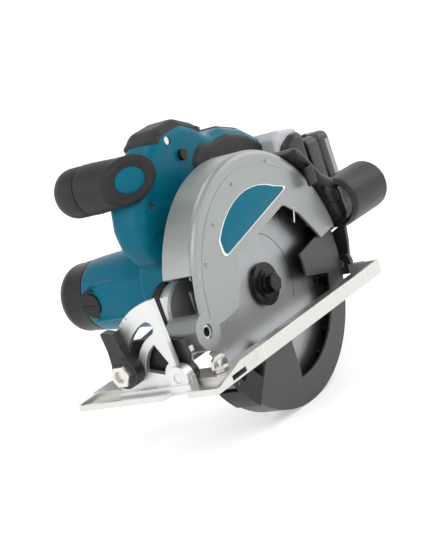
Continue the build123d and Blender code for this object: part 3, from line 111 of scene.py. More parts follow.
def material(name, colour, rough, metal=0.0, grain=1500.0, bump=0.05, tone=0.12, wear=None,
             stretch=None, rings=None, edge=0.0005, coat=0.0, spread=0.1, spec=0.5):
    """Principled surface with blotchy tone, uneven roughness, grain, softened and worn edges."""
    made = bpy.data.materials.new(name)
    made.use_nodes = True
    made.diffuse_color = (*colour, 1)
    tree = made.node_tree
    link = tree.links.new
    shader = tree.nodes["Principled BSDF"]
    shader.inputs["Metallic"].default_value = metal
    shader.inputs["Coat Weight"].default_value = coat
    shader.inputs["Specular IOR Level"].default_value = spec
    shader.inputs["Coat Roughness"].default_value = 0.12
    place = tree.nodes.new("ShaderNodeTexCoord").outputs["Object"]
    blotch = node(tree, "ShaderNodeTexNoise", Scale=38.0, Detail=5.0, Roughness=0.62)
    link(place, blotch.inputs["Vector"])
    # tone of the colour
    dark = [c * (1 - tone) for c in colour] + [1]
    light = [min(1.0, c * (1 + tone)) for c in colour] + [1]
    mix = node(tree, "ShaderNodeMix", data_type="RGBA")
    mix.inputs[6].default_value = dark
    mix.inputs[7].default_value = light
    link(blotch.outputs["Fac"], mix.inputs[0])
    tint = mix.outputs[2]
    # grain, brushed streaks or turned rings
    if rings:
        fine = node(tree, "ShaderNodeTexNoise", noise_dimensions="1D", Scale=grain, Detail=6.0, Roughness=0.7)
        link(ring_distance(tree, place, rings), fine.inputs["W"])
    else:
        fine = node(tree, "ShaderNodeTexNoise", Scale=grain, Detail=4.0, Roughness=0.6)
        if stretch:
            scaled = node(tree, "ShaderNodeMapping")
            scaled.inputs["Scale"].default_value = stretch
            link(place, scaled.inputs["Vector"])
            link(scaled.outputs["Vector"], fine.inputs["Vector"])
        else:
            link(place, fine.inputs["Vector"])
    # roughness from blotches and grain together
    both = node(tree, "ShaderNodeMath", operation="ADD")
    link(blotch.outputs["Fac"], both.inputs[0])
    link(fine.outputs["Fac"], both.inputs[1])
    range_node = node(tree, "ShaderNodeMapRange")
    range_node.inputs["From Min"].default_value = 0.6
    range_node.inputs["From Max"].default_value = 1.4
    range_node.inputs["To Min"].default_value = max(0.05, rough - spread)
    range_node.inputs["To Max"].default_value = min(1.0, rough + spread)
    link(both.outputs[0], range_node.inputs["Value"])
    link(range_node.outputs["Result"], shader.inputs["Roughness"])
    # rounded edges and relief
    soft = node(tree, "ShaderNodeBevel", samples=4)
    soft.inputs["Radius"].default_value = edge
    relief = node(tree, "ShaderNodeBump")
    relief.inputs["Strength"].default_value = bump
    relief.inputs["Distance"].default_value = 0.0004
    link(fine.outputs["Fac"], relief.inputs["Height"])
    link(soft.outputs["Normal"], relief.inputs["Normal"])
    link(relief.outputs["Normal"], shader.inputs["Normal"])
    if wear:
        true = tree.nodes.new("ShaderNodeNewGeometry")
        dot = node(tree, "ShaderNodeVectorMath", operation="DOT_PRODUCT")
        link(soft.outputs["Normal"], dot.inputs[0])
        link(true.outputs["Normal"], dot.inputs[1])
        edge_mask = node(tree, "ShaderNodeMapRange")
        edge_mask.inputs["From Min"].default_value = 0.97
        edge_mask.inputs["From Max"].default_value = 0.80
        link(dot.outputs["Value"], edge_mask.inputs["Value"])
        broken = node(tree, "ShaderNodeMath", operation="MULTIPLY")
        link(edge_mask.outputs["Result"], broken.inputs[0])
        link(blotch.outputs["Fac"], broken.inputs[1])
        worn = node(tree, "ShaderNodeMix", data_type="RGBA")
        worn.inputs[7].default_value = (*wear, 1)
        link(broken.outputs[0], worn.inputs[0])
        link(tint, worn.inputs[6])
        tint = worn.outputs[2]
    link(tint, shader.inputs["Base Color"])
    return made


def make_materials():
    alu = (0.62, 0.61, 0.58)
    made = {
        "base_aluminium": material("pressed_plate", alu, 0.34, 0.9, 900, 0.12, 0.08, (0.85, 0.85, 0.83),
                                   stretch=(0.04, 1, 1)),
        "cast_silver": material("cast_alloy", (0.66, 0.67, 0.67), 0.36, 0.85, 1100, 0.35, 0.08,
                                (0.9, 0.9, 0.9)),
        "black_steel": material("black_coated_steel", (0.016, 0.016, 0.018), 0.38, 0.2, 1300, 0.15, 0.2,
                                (0.20, 0.20, 0.20)),
        "zinc_steel": material("zinc_plated", (0.66, 0.65, 0.61), 0.26, 1.0, 1500, 0.06, 0.1,
                               (0.9, 0.9, 0.88)),
        "case_grey": material("satin_paint_grey", (0.30, 0.315, 0.31), 0.34, 0.5, 1700, 0.06, 0.05,
                              (0.85, 0.86, 0.85), spread=0.06),
        "badge_grey": material("badge_face", TEAL, 0.30, 0.0, 1500, 0.02, 0.05, spec=0.12),
        "bearing_steel": material("bearing_steel", (0.55, 0.55, 0.55), 0.25, 1.0),
        "machined_steel": material("machined_steel", (0.5, 0.5, 0.49), 0.3, 1.0, 1800, 0.1, rings=ARBOR),
        "blade_steel": material("ground_blade_steel", (0.34, 0.35, 0.36), 0.34, 1.0, 2600, 0.16, 0.15,
                                (0.5, 0.5, 0.5), rings=ARBOR, spread=0.12),
        "carbide": material("carbide", (0.36, 0.36, 0.37), 0.3, 1.0),
        "black_oxide_steel": material("black_oxide", (0.012, 0.012, 0.013), 0.28, 0.6, 1400, 0.05, 0.25,
                                      (0.10, 0.10, 0.10)),
        "guard_grey": material("dark_satin_guard", (0.050, 0.053, 0.056), 0.38, 0.35, 1500, 0.08, 0.08,
                               (0.22, 0.22, 0.23), spread=0.08),
        "black_plastic": material("moulded_black", BLACK, 0.38, 0.0, 1600, 0.12, 0.2, (0.05, 0.05, 0.05),
                                  spec=0.25),
        "roller_grey": material("roller_plastic", (0.13, 0.135, 0.14), 0.45),
        "teal_plastic": material("moulded_teal", TEAL, 0.30, 0.0, 1800, 0.04, 0.06, spread=0.06, spec=0.12),
        "black_rubber": material("soft_rubber", RUBBER, 0.50, 0.0, 2200, 0.22, 0.15, (0.06, 0.06, 0.06),
                                 spec=0.25),
        "mount_grey": material("mount_plastic", (0.014, 0.014, 0.016), 0.34, 0.0, 1600, 0.10, 0.15,
                               spec=0.35),
        "battery_black": material("pack_plastic", (0.012, 0.012, 0.014), 0.34, 0.0, 1600, 0.08, 0.2,
                                  (0.05, 0.05, 0.05)),
        "cell_metal": material("cell_sleeve", (0.4, 0.4, 0.42), 0.35, 0.6),
        "magnet_grey": material("sintered_magnet", (0.08, 0.08, 0.08), 0.5, 0.4, 900, 0.3),
        "carbon": material("pressed_carbon", (0.03, 0.03, 0.03), 0.6, 0.0, 900, 0.3),
        "lamination_steel": material("laminations", (0.25, 0.25, 0.26), 0.4, 0.9, 2500, 0.3,
                                     stretch=(1, 30, 1)),
        "copper": material("copper", (0.60, 0.26, 0.13), 0.3, 1.0),
    }
    made["mark_dark"] = material("mark_paint", (0.03, 0.03, 0.03), 0.5)
    made["mark_white"] = material("mark_white", (0.82, 0.82, 0.80), 0.5)
    # light grey for the mount's top face: a painted reflection of the overhead light on the dark plastic
    made["painted_reflection_grey"] = material("painted_reflection_grey", (0.46, 0.47, 0.49), 0.35, 0.1)
    made["strip_grey"] = material("strip_grey", (0.30, 0.31, 0.34), 0.35, 0.3)
    return made


materials = make_materials()
slot_of = {row["node"]: row["material_slot"] for row in frame["record"]["subparts"]}
for name, piece in frame["nodes"].items():
    piece.data.materials.clear()
    piece.data.materials.append(materials[slot_of[name]])


# ---------------------------------------------------------------- mesh helpers, sizes in mm
def new_piece(name, mesh, slot, body="saw_body", replaces=(), look=None, sharp=35.0):
    """Puts a finished mesh into the scene as a piece of the saw, with its material and shading, under its
    body.
    """
    piece = bpy.data.objects.new(name, mesh)
    bpy.context.scene.collection.objects.link(piece)
    mesh.materials.clear()
    mesh.materials.append(materials[look or slot])
    shade(mesh, sharp)
    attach(piece, body)
    if replaces:
        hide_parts(*replaces)
    return piece


def shade(mesh, sharp):
    """Smooth shading, with edges sharper than the angle left crisp."""
    bm = bmesh.new()
    bm.from_mesh(mesh)
    bmesh.ops.remove_doubles(bm, verts=bm.verts, dist=1e-6)
    bmesh.ops.recalc_face_normals(bm, faces=bm.faces)
    for face in bm.faces:
        face.smooth = True
    for edge in bm.edges:
        edge.smooth = len(edge.link_faces) == 2 and edge.calc_face_angle(0) < math.radians(sharp)
    bm.to_mesh(mesh)
    bm.free()


def bake(piece):
    """The piece's mesh with its modifiers applied; the piece itself is dropped."""
    graph = bpy.context.evaluated_depsgraph_get()
    mesh = bpy.data.meshes.new_from_object(piece.evaluated_get(graph))
    mesh.transform(piece.matrix_world)
    bpy.data.objects.remove(piece)
    return mesh


def temp_object(data):
    piece = bpy.data.objects.new("temp", data)
    bpy.context.scene.collection.objects.link(piece)
    return piece


def rounded(points, radius):
    """Closed outline with an arc at each corner; radius is one value or one for each corner."""
    radii = radius if isinstance(radius, (list, tuple)) else [radius] * len(points)
    out = []
    count = len(points)
    for i, point in enumerate(points):
        here = Vector(point)
        to_last = Vector(points[i - 1]) - here
        to_next = Vector(points[(i + 1) % count]) - here
        angle = to_last.angle(to_next)
        reach = min(radii[i] / math.tan(angle / 2), 0.49 * to_last.length, 0.49 * to_next.length)
        start = here + to_last.normalized() * reach
        end = here + to_next.normalized() * reach
        for step in range(9):
            t = step / 8
            out.append(start.lerp(here, t).lerp(here.lerp(end, t), t))
    return out


def arc(centre, radius, start, end, steps=40):
    angles = [math.radians(start + (end - start) * i / steps) for i in range(steps + 1)]
    return [Vector((centre[0] + radius * math.cos(a), centre[1] + radius * math.sin(a))) for a in angles]


def slab(outlines, low, high, bevel, axis="y", steps=5):
    """Mesh of closed outlines extruded along an axis, with rounded rims."""
    data = bpy.data.curves.new("slab", "CURVE")
    data.dimensions = "2D"
    data.fill_mode = "BOTH"
    data.extrude = ((high - low) / 2 - bevel) * MM
    data.bevel_depth = bevel * MM
    data.bevel_resolution = steps
    data.offset = -bevel * MM
    for points in outlines:
        line = data.splines.new("POLY")
        line.points.add(len(points) - 1)
        for spot, point in zip(line.points, points):
            spot.co = (point[0] * MM, point[1] * MM, 0, 1)
        line.use_cyclic_u = True
    piece = temp_object(data)
    middle = (low + high) / 2 * MM
    if axis == "y":
        turn = Matrix(((1, 0, 0, 0), (0, 0, -1, middle), (0, 1, 0, 0), (0, 0, 0, 1)))
    elif axis == "x":
        turn = Matrix(((0, 0, 1, middle), (1, 0, 0, 0), (0, 1, 0, 0), (0, 0, 0, 1)))
    else:
        turn = Matrix.Translation((0, 0, middle))
    piece.matrix_world = turn
    bpy.context.view_layer.update()
    return bake(piece)


def mesh_from(bm):
    mesh = bpy.data.meshes.new("mesh")
    bm.to_mesh(mesh)
    bm.free()
    return mesh


def revolve(profile, centre, axis="y", steps=96):
    """Closed solid of revolution; profile is (radius, place along the axis), from axis to axis or closed."""
    bm = bmesh.new()
    rings = []
    for radius, along in profile:
        ring = []
        for i in range(steps):
            a = 2 * math.pi * i / steps
            p, q = centre[0] + radius * math.cos(a), centre[1] + radius * math.sin(a)
            spot = (p, along, q) if axis == "y" else (along, p, q)
            ring.append(bm.verts.new([v * MM for v in spot]))
        rings.append(ring)
    closed = profile[0][0] > 0.01 and profile[-1][0] > 0.01
    pairs = list(zip(rings, rings[1:])) + ([(rings[-1], rings[0])] if closed else [])
    for first, second in pairs:
        for i in range(steps):
            j = (i + 1) % steps
            bm.faces.new((first[i], first[j], second[j], second[i]))
    bmesh.ops.remove_doubles(bm, verts=bm.verts, dist=1e-7)
    bmesh.ops.recalc_face_normals(bm, faces=bm.faces)
    return mesh_from(bm)


def merge(*meshes):
    bm = bmesh.new()
    for mesh in meshes:
        bm.from_mesh(mesh)
    return mesh_from(bm)


def block(x0, x1, y0, y1, z0, z1, bevel=0.0, segments=3):
    """Box with rounded edges."""
    bm = bmesh.new()
    bmesh.ops.create_cube(bm, size=1.0)
    for v in bm.verts:
        v.co.x = (x0 + (v.co.x + 0.5) * (x1 - x0)) * MM
        v.co.y = (y0 + (v.co.y + 0.5) * (y1 - y0)) * MM
        v.co.z = (z0 + (v.co.z + 0.5) * (z1 - z0)) * MM
    if bevel:
        bmesh.ops.bevel(bm, geom=list(bm.edges), offset=bevel * MM, segments=segments, profile=0.5,
                        affect="EDGES")
    return mesh_from(bm)


def melted(meshes, voxel, rounds):
    """Union of closed meshes with their joins blended, as moulded pieces are."""
    piece = temp_object(merge(*meshes))
    remesh = piece.modifiers.new("remesh", "REMESH")
    remesh.mode = "VOXEL"
    remesh.voxel_size = voxel * MM
    smooth = piece.modifiers.new("smooth", "SMOOTH")
    smooth.factor = 0.5
    smooth.iterations = rounds
    bpy.context.view_layer.update()
    return bake(piece)


def carved(mesh, cutter):
    """The mesh with the cutter's volume taken away."""
    piece = temp_object(mesh)
    tool = temp_object(cutter)
    cut = piece.modifiers.new("cut", "BOOLEAN")
    cut.operation = "DIFFERENCE"
    cut.solver = "EXACT"
    cut.object = tool
    bpy.context.view_layer.update()
    result = bake(piece)
    bpy.data.objects.remove(tool)
    return result


def dome(radius, tip, base, rounding, steps=10):
    """Profile from the axis at the tip, round the rim, to the base; tip may be on either side."""
    side = 1 if base > tip else -1
    points = [(0.0, tip), (radius - rounding, tip)]
    for i in range(1, steps + 1):
        a = math.pi / 2 * i / steps
        points.append((radius - rounding + rounding * math.sin(a), tip + side * rounding * (1 - math.cos(a))))
    points.append((radius, base))
    return points


# ---------------------------------------------------------------- handle
HANDLE_POINTS = [
    (16, 60), (30, 70), (38, 84), (40, 98), (35, 116), (22, 132), (2, 145), (-12, 153),
    (-36, 155), (-54, 147), (-67, 136), (-86, 137), (-110, 129), (-128, 117), (-140, 104),
    (-140, 64), (-112, 56), (-70, 56), (-40, 62),
    (-26, 58),
]
LOOP_POINTS = [(-50, 107), (-44, 84), (-70, 76), (-112, 76), (-122, 92), (-104, 106), (-84, 111)]


def handle_shell():
    low, high = HANDLE_MIDDLE - HANDLE_HALF, HANDLE_MIDDLE + HANDLE_HALF
    outer = rounded(HANDLE_POINTS, 14)
    loop = rounded(LOOP_POINTS, 11)
    body = slab([outer, loop], low + 2.5, high, 10.0, steps=7)
    saddle = revolve([(20, -19), (32, -19), (32.5, -21), (32.5, -45), (31, -48), (20, -48)], MOTOR)
    neck_side = rounded([(-14, 66), (24, 62), (36, 82), (38, 98), (30, 118), (-4, 112)], 10)
    neck = slab([neck_side], low + 3, high + 1.0, 12)
    mesh = melted([body, neck, saddle], 1.3, 9)
    holes = [revolve([(0, high - 4), (3.3, high - 4), (3.3, high + 8), (0, high + 8)], spot, steps=24)
             for spot in ((-96, 66), (-20, 80), (24, 108), (-16, 144), (-98, 121))]
    recess = rounded([(22, 92), (36, 88), (37, 74), (26, 70), (18, 78)], 5)
    window = slab([recess], high - 0.6, high + 12, 1.0)
    mesh = carved(mesh, merge(*holes, window))
    new_piece("handle_shell", mesh, "teal_plastic", replaces=("handle_blade_side", "handle_motor_side"),
                      sharp=28)


def handle_trim():
    """Soft black pads on the crown, the top of the grip and both cheeks."""
    low, high = HANDLE_MIDDLE - HANDLE_HALF, HANDLE_MIDDLE + HANDLE_HALF
    proud = 1.3
    crown = rounded([(1, 146.5), (-12, 154.8), (-36, 156.6), (-55, 148.4), (-66, 138), (-52, 138), (-34, 140),
                     (-12, 134)], [3, 12, 12, 10, 3, 8, 12, 6])
    cap = slab([crown], low + 1.5, high - 1.5, 7.5)
    grip_top = rounded([(-84, 139), (-110, 130.6), (-129, 118.6), (-137, 108), (-130, 108),
                        (-108, 122), (-88, 129)],
                       [4, 12, 10, 3, 4, 12, 5])
    rear = slab([grip_top], low + 6, high - 6, 5.0)
    cheek = rounded([(-31, 110), (-34, 124), (-47, 133), (-62, 130), (-84, 131), (-108, 123), (-130, 107),
                     (-134, 96), (-124, 95), (-106, 107), (-84, 112), (-66, 110), (-52, 104),
                     (-44, 95), (-34, 97)],
                    [8, 10, 12, 10, 14, 14, 10, 5, 5, 12, 10, 10, 10, 5, 6])
    near = slab([cheek], high - 4.0, high + proud, 3.2)
    far = slab([cheek], low - proud, low + 4.0, 3.2)
    mesh = melted([cap, rear, near, far], 1.0, 5)
    new_piece("handle_pads", mesh, "black_rubber", replaces=("grip_pads",))


def front_grip():
    """Barrel of the front grip with its slanted end, and the rounded cap beyond the seam."""
    bm = bmesh.new()
    steps = 96
    rings = []

    def ring(radius, along, slant=0.0):
        made = []
        for i in range(steps):
            a = 2 * math.pi * i / steps
            x, z = radius * math.cos(a), radius * math.sin(a)
            lean = -(GRIP_NORMAL.x * x + GRIP_NORMAL.z * z) / GRIP_NORMAL.y
            made.append(bm.verts.new([(GRIP[0] + x) * MM, (along + lean * slant) * MM, (GRIP[1] + z) * MM]))
        rings.append(made)

    r = GRIP_RADIUS
    ring(r - 1.2, GRIP_SEAM + 0.2)
    ring(r - 0.3, GRIP_SEAM + 0.2)
    ring(r + 0.6, GRIP_SEAM + 1.0)
    ring(r + 0.7, GRIP_SEAM + 7, 0.0)
    ring(r + 0.2, GRIP_SEAM + 17, 0.3)
    ring(r - 0.4, GRIP_SEAM + 26, 0.6)
    ring(r - 0.5, GRIP_FACE - 3.2, 1.0)
    ring(r - 0.35, GRIP_FACE - 1.6, 1.0)
    ring(r - 1.0, GRIP_FACE - 0.5, 1.0)
    ring(r - 2.2, GRIP_FACE, 1.0)
    ring(11.8, GRIP_FACE, 1.0)
    ring(11.2, GRIP_FACE - 0.8, 1.0)
    for first, second in zip(rings, rings[1:]):
        for i in range(steps):
            j = (i + 1) % steps
            bm.faces.new((first[i], first[j], second[j], second[i]))
    bm.faces.new(rings[0])
    bm.faces.new(rings[-1])
    mesh = mesh_from(bm)
    new_piece("front_grip_sleeve", mesh, "black_rubber", replaces=("front_grip",))
    tip = dome(r + 0.5, GRIP_TIP, GRIP_SEAM - 1.2, 13.5, 16)
    cap = revolve(tip + [(r + 0.1, GRIP_SEAM - 0.3), (r - 1.4, GRIP_SEAM - 0.2), (0, GRIP_SEAM - 0.2)], GRIP)
    new_piece("front_grip_end", cap, "black_rubber", replaces=("front_grip_cap",))


def grip_inset():
    """Blank teal oval set in the slanted end of the grip, gently crowned."""
    bm = bmesh.new()
    side = Vector((-GRIP_NORMAL.y, GRIP_NORMAL.x, 0)).normalized()
    up = GRIP_NORMAL.cross(side).normalized()
    centre = Vector((GRIP[0], GRIP_FACE, GRIP[1]))
    steps = 72
    levels = ((1.0, -0.8), (1.0, 0.25), (0.95, 0.55), (0.8, 0.8), (0.5, 1.0), (0.2, 1.08))
    rings = []
    for share, height in levels:
        made = []
        for i in range(steps):
            a = 2 * math.pi * i / steps
            spot = centre + side * (10.6 * share * math.cos(a)) + up * (8.9 * share * math.sin(a))
            made.append(bm.verts.new((spot + GRIP_NORMAL * (height - 0.3)) * MM))
        rings.append(made)
    for first, second in zip(rings, rings[1:]):
        for i in range(steps):
            j = (i + 1) % steps
            bm.faces.new((first[i], first[j], second[j], second[i]))
    bm.faces.new(rings[0])
    bm.faces.new(rings[-1])
    new_piece("grip_oval", mesh_from(bm), "teal_plastic", replaces=("grip_badge",))


# ---------------------------------------------------------------- motor
def motor_shells():
    knee = -62.0
    profile = [(24, -22.2), (29.6, -22.2), (30, -22.8), (30, knee), (29.6, knee - 8),
               (28.6, -86), (27.6, -100),
               (27.0, -107.2), (26.4, -107.9), (20, -107.9)]
    tube = revolve(profile, MOTOR)
    ribs = []
    for angle in (28, 152, 205, 335):
        a = math.radians(angle)
        rib = block(-1.2, 1.2, -100, -26, 26.5, 31.3, 0.9)
        turn = Matrix.Rotation(math.pi / 2 - a, 4, "Y")
        rib.transform(turn)
        rib.transform(Matrix.Translation((MOTOR[0] * MM, 0, MOTOR[1] * MM)))
        ribs.append(rib)
    mesh = melted([tube, *ribs], 1.1, 4)
    new_piece("motor_tube", mesh, "teal_plastic", replaces=("motor_housing",))
    tip = dome(25.6, -136, -120, 12, 14)
    cap = revolve(tip + [(26.6, -108.6), (26.2, -108.0), (20, -108.0), (20, -125), (0, -125)], MOTOR)
    collars = []
    for side in (1, -1):
        outline = [(8.6, 5), (8.6, 25.8), (9.4, 26.6), (10.6, 26.6), (11.4, 25.6), (11.8, 20), (11.8, 5)]
        collar = revolve([(radius, side * along) for radius, along in outline], (BRUSH_Y, MOTOR[1]),
                         axis="x", steps=64)
        collar.transform(Matrix.Translation((MOTOR[0] * MM, 0, 0)))
        collars.append(collar)
    slots = []
    for i in range(9):
        slot = block(-1.1, 1.1, -140, -130, 7, 17, 1.0)
        slot.transform(Matrix.Rotation(math.radians(i * 40), 4, "Y"))
        slot.transform(Matrix.Translation((MOTOR[0] * MM, 0, MOTOR[1] * MM)))
        slots.append(slot)
    cap = carved(cap, merge(*slots))
    new_piece("motor_cap", merge(cap, *collars), "black_plastic", replaces=("motor_end_cover",))


# ---------------------------------------------------------------- battery and dust outlet
def battery_mount():
    outline = rounded([(-152, 42), (-117, 54), (-116, 96), (-126, 106), (-140, 111), (-152, 111)],
                      [3, 12, 12, 12, 9, 4])
    body = slab([outline], -68, 4.5, 6.5)
    shoulder_side = rounded([(-152, 84), (-128, 84), (-130, 104), (-142, 111), (-152, 111)],
                            [3, 6, 10, 8, 4])
    shoulder = slab([shoulder_side], -68, -20, 5)
    mesh = melted([body, shoulder], 1.2, 5)
    channel = block(-153, -142.5, -80, -0.5, 49.5, 84.5)
    mesh = carved(mesh, channel)
    new_piece("mount_shell", mesh, "mount_grey", replaces=("battery_mount",))
    trim_side = rounded([(-118.5, 84), (-130, 70), (-150, 60), (-150, 61.6), (-131, 71.8),
                         (-119.5, 85.4)], 0.5)
    trim = slab([trim_side], 3.6, 4.75, 0.2)
    new_piece("mount_trim", trim, "teal_plastic")
    # Light grey sheet over the mount's top face: a painted reflection of the overhead light on the dark mount
    # plastic
    reflection_outline = rounded([(-118, 100), (-121, 113), (-128, 118), (-153, 113.5), (-153, 100)],
                         [3, 5, 5, 2, 2])
    reflection_sheet = slab([reflection_outline], -52, -2, 3.0)
    new_piece("mount_top_painted_reflection", reflection_sheet, "mount_grey", look="painted_reflection_grey")


def battery_pack():
    """Pack shell in two halves with a groove between, corner chamfers and side ribs."""
    front, rear, far, near, low, high = -152.4, -186, -108.5, 4.5, 28, 103
    halves = [
        slab([rounded([(far, low), (near, low), (near, high), (far, high)], 7)], rear, -168.4, 3.6, axis="x"),
        slab([rounded([(far + 0.3, low + 0.3), (near - 0.3, low + 0.3), (near - 0.3, high - 0.3),
                       (far + 0.3, high - 0.3)], 7)], -168.0, front, 1.4, axis="x"),
        block(-169.5, -167, far + 1.5, near - 1.5, low + 1.5, high - 1.5),
        block(front - 1, front + 8.9, -68, -1.5, 50, 84, 0.8),
    ]
    mesh = merge(*halves)
    new_piece("pack_shell", mesh, "battery_black", body="battery", replaces=("battery_case",))
    strip = merge(block(-182.6, -177.6, near - 0.5, near + 0.12, 36, 96, 0.25),
                  block(-186.12, -185.5, -92, -12, 60, 72, 0.25))
    new_piece("pack_strip", strip, "battery_black", body="battery", look="strip_grey")
    ribs = [block(-164, -156, near - 0.6, near + 0.1, z, z + 1.6, 0.3) for z in (60, 64, 68, 72)]
    new_piece("pack_ribs", merge(*ribs), "battery_black", body="battery")


def dust_outlet():
    y, z = NOZZLE
    wall = 2.2
    tube = revolve([(19, -170), (18.6, -171), (19 - wall + 0.3, -171), (19 - wall, -170.4), (19 - wall, -128),
                    (14, -122), (17, -116), (19, -122)], (y, z), axis="x")
    elbow_side = rounded([(-77, 105), (-90, 108.5), (-111, 82), (-126, 73), (-129, 64), (-129, 44),
                          (-120, 40), (-112.7, 51.5), (-106, 70), (-94, 90)],
                         [3, 6, 16, 10, 8, 8, 6, 2, 20, 20])
    elbow = slab([elbow_side], 9, 37.2, 5.5)
    bore = revolve([(0, -180), (19 - wall, -180), (19 - wall, -127), (0, -127)], (y, z), axis="x", steps=64)
    mesh = melted([elbow, tube], 1.1, 4)
    mesh = carved(mesh, bore)
    clip = block(-97, -86, 36.2, 39.0, 78, 92, 1.0)
    ridge = slab([rounded([(-102, 74), (-119, 66), (-121, 58), (-108, 58)], 5)], 34, 38.6, 2.2)
    new_piece("dust_elbow", merge(mesh, ridge, clip), "black_plastic", replaces=("dust_nozzle",))


# ---------------------------------------------------------------- small surface detail
def ribbon(points, width, low, high):
    """Thin raised line along a path on a face that looks along Y."""
    left, right = [], []
    for i, point in enumerate(points):
        here = Vector(point)
        before = Vector(points[max(i - 1, 0)])
        after = Vector(points[min(i + 1, len(points) - 1)])
        side = (after - before).normalized()
        side = Vector((-side.y, side.x)) * width / 2
        left.append(here + side)
        right.append(here - side)
    bm = bmesh.new()
    rows = []
    for a, b in zip(left, right):
        rows.append([bm.verts.new([v * MM for v in spot]) for spot in
                     ((a.x, low, a.y), (a.x, high, a.y), (b.x, high, b.y), (b.x, low, b.y))])
    for first, second in zip(rows, rows[1:]):
        for i in range(4):
            j = (i + 1) % 4
            bm.faces.new((first[i], first[j], second[j], second[i]))
    bm.faces.new(rows[0])
    bm.faces.new(rows[-1])
    bmesh.ops.recalc_face_normals(bm, faces=bm.faces)
    return mesh_from(bm)


def case_details():
    centre = (ARBOR[0], ARBOR[2])
    bead = ribbon(arc(centre, 83.5, 4, 122, 90), 1.1, CASE_FACE - 0.2, CASE_FACE + 0.35)
    window = [(33, 31), (-35, 46), (-50, 35), (-62, 19)]
    rim = ribbon(rounded([(centre[0] + x, centre[1] + z) for x, z in window], 5)[9:-9], 1.2,
                 CASE_FACE - 0.2, CASE_FACE + 0.4)
    new_piece("case_beads", merge(bead, rim), "case_grey")
    arrow = ribbon([(centre[0] - 46, centre[1] + 40), (centre[0] - 41, centre[1] + 30)], 1.0,
                   CASE_FACE - 0.2, CASE_FACE + 0.12)
    new_piece("case_mark", arrow, "case_grey", look="mark_white")


def badge():
    """Blank half-moon badge: teal face with a thin light border."""
    centre = (ARBOR[0], ARBOR[2])
    start, end = (centre[0] + 50, centre[1] + 34), (centre[0] - 47, centre[1] + 56)
    curve = arc(centre, 68.5, math.degrees(math.atan2(38, 54)), math.degrees(math.atan2(58, -40)), 48)
    points = rounded([tuple(start), *[tuple(p) for p in curve[4:-4:4]], tuple(end)], 5)
    border = slab([points], CASE_FACE - 0.2, CASE_FACE + 0.5, 0.3, steps=2)
    inner = Vector((sum(p.x for p in points) / len(points), sum(p.y for p in points) / len(points)))
    small = [inner + (p - inner) * 0.955 for p in points]
    face = slab([small], CASE_FACE, CASE_FACE + 0.75, 0.3, steps=2)
    new_piece("badge_border", border, "badge_grey", look="mark_white", replaces=("case_badge",))
    new_piece("badge_face", face, "badge_grey")


def blade_details():
    centre = (ARBOR[0], ARBOR[2])
    y = ARBOR[1] + 0.65
    line = ribbon(arc(centre, 36, 100, 215, 60), 0.5, y - 0.05, y + 0.06)
    new_piece("blade_arc", line, "blade_steel", body="blade_set", look="mark_dark")


def base_details():
    ticks = [block(x - 0.5, x + 0.5, FLANGE_Y - 0.3, FLANGE_Y + 0.08, 0.5, 9.6) for x in (55.0, -88.0)]
    new_piece("flange_ticks", merge(*ticks), "base_aluminium", body="base", look="mark_white")
    border = rounded([(63, 3), (78, 3), (78, 8), (63, 8)], 0.6)
    stamp = ribbon(border + border[:1], 0.7, FLANGE_Y - 0.2, FLANGE_Y + 0.25)
    new_piece("flange_stamp", stamp, "base_aluminium", body="base")
    marks = []
    for step in range(11):
        angle = math.radians(8 + 5 * step)
        inner, outer = (50.6, 52.3) if step % 2 else (49.9, 52.3)
        c, s = -math.cos(angle), math.sin(angle)
        corners = [(BEVEL_AXIS[0] + reach * c + side * 0.25 * s, BEVEL_AXIS[1] + reach * s - side * 0.25 * c)
                   for reach, side in ((inner, -1), (outer, -1), (outer, 1), (inner, 1))]
        mark = slab([corners], QUADRANT_FACE - 0.2, QUADRANT_FACE + 0.08, 0.02, axis="x", steps=1)
        marks.append(mark)
    new_piece("bevel_scale", merge(*marks), "cast_silver", body="base", look="mark_dark")


handle_shell()
handle_trim()
front_grip()
grip_inset()
motor_shells()
battery_mount()
battery_pack()
dust_outlet()
case_details()
badge()
blade_details()
base_details()


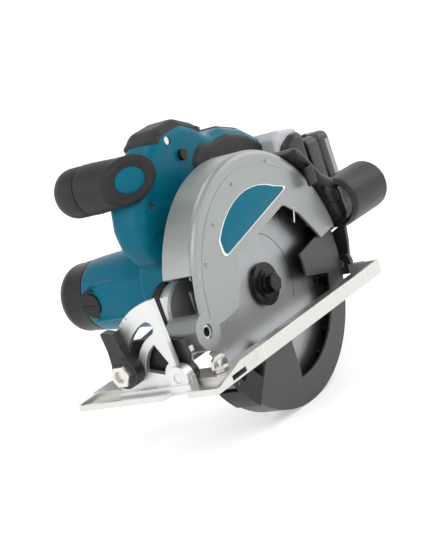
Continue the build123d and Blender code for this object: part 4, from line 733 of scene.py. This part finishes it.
# ---------------------------------------------------------------- stage, light and camera
def stage():
    """Pale floor that curves up into a wall all round."""
    low = min(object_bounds()[0][2], cad_box[0][2])
    bm = bmesh.new()
    profile = [(0.001, 0), (1, 0), (STAGE_FLAT, 0)]
    profile += [(STAGE_FLAT + STAGE_CURVE * math.sin(a), STAGE_CURVE * (1 - math.cos(a))) for a in
                [math.pi / 2 * i / 12 for i in range(1, 13)]]
    profile.append((STAGE_FLAT + STAGE_CURVE, STAGE_HEIGHT))
    turns = [2 * math.pi * i / STAGE_STEPS for i in range(STAGE_STEPS)]
    rings = []
    for radius, height in profile:
        rings.append([bm.verts.new((radius * math.cos(a), radius * math.sin(a), low + height))
                      for a in turns])
    for first, second in zip(rings, rings[1:]):
        for i in range(STAGE_STEPS):
            j = (i + 1) % STAGE_STEPS
            bm.faces.new((first[i], first[j], second[j], second[i])).smooth = True
    floor = bpy.data.objects.new("floor", mesh_from(bm))
    bpy.context.scene.collection.objects.link(floor)
    pale = material("pale_floor", (0.88, 0.88, 0.88), 0.9, grain=60, bump=0.0, tone=0.01,
                    edge=0.0001, spec=0.1)
    glow = pale.node_tree.nodes["Principled BSDF"]
    glow.inputs["Emission Color"].default_value = (1, 1, 1, 1)
    glow.inputs["Emission Strength"].default_value = STAGE_GLOW
    floor.data.materials.append(pale)
    floor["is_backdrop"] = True


def area_light(name, place, aim, size, power):
    data = bpy.data.lights.new(name, "AREA")
    data.shape = "SQUARE"
    data.size = size
    data.energy = power
    lamp = bpy.data.objects.new(name, data)
    lamp.location = place
    lamp.rotation_euler = (Vector(aim) - Vector(place)).to_track_quat("-Z", "Y").to_euler()
    bpy.context.scene.collection.objects.link(lamp)


def studio():
    world = bpy.data.worlds.new("studio")
    world.use_nodes = True
    world.node_tree.nodes["Background"].inputs["Color"].default_value = (1, 1, 1, 1)
    world.node_tree.nodes["Background"].inputs["Strength"].default_value = 0.5
    bpy.context.scene.world = world
    aim = (-0.02, -0.02, 0.06)
    area_light("key", (0.9, 1.5, 1.7), aim, 0.9, 9)
    area_light("front_left", (1.9, -0.9, 1.0), aim, 1.2, 7)
    area_light("top", (-0.3, -0.2, 2.2), aim, 1.2, 9)
    area_light("back", (-1.8, 0.9, 1.0), aim, 1.2, 5)


CAMERA_PLACE = Vector((0.76368, 0.59296, 0.22936))
CAMERA_AZIMUTH = 37.76
CAMERA_HEIGHT = 10.42
CAMERA_ROLL = 18.83
CAMERA_LENS = 95.7


def camera():
    """Camera at the fitted place, rolled so that the base plate leans as it does there."""
    azimuth, height, roll = (math.radians(v) for v in (CAMERA_AZIMUTH, CAMERA_HEIGHT, CAMERA_ROLL))
    back = Vector((math.cos(height) * math.cos(azimuth), math.cos(height) * math.sin(azimuth),
                   math.sin(height)))
    level = Vector((0, 0, 1)).cross(back).normalized()
    upright = back.cross(level)
    up = upright * math.cos(roll) + level * math.sin(roll)
    right = level * math.cos(roll) - upright * math.sin(roll)
    data = bpy.data.cameras.new("camera")
    data.sensor_fit = "VERTICAL"
    data.sensor_height = 36.0
    data.lens = CAMERA_LENS
    data.clip_end = 50
    view = bpy.data.objects.new("camera", data)
    view.matrix_world = Matrix((
        (right.x, up.x, back.x, CAMERA_PLACE.x),
        (right.y, up.y, back.y, CAMERA_PLACE.y),
        (right.z, up.z, back.z, CAMERA_PLACE.z),
        (0, 0, 0, 1),
    ))
    bpy.context.scene.collection.objects.link(view)
    bpy.context.scene.camera = view


stage()
studio()
camera()
bpy.context.scene.view_settings.view_transform = "Standard"
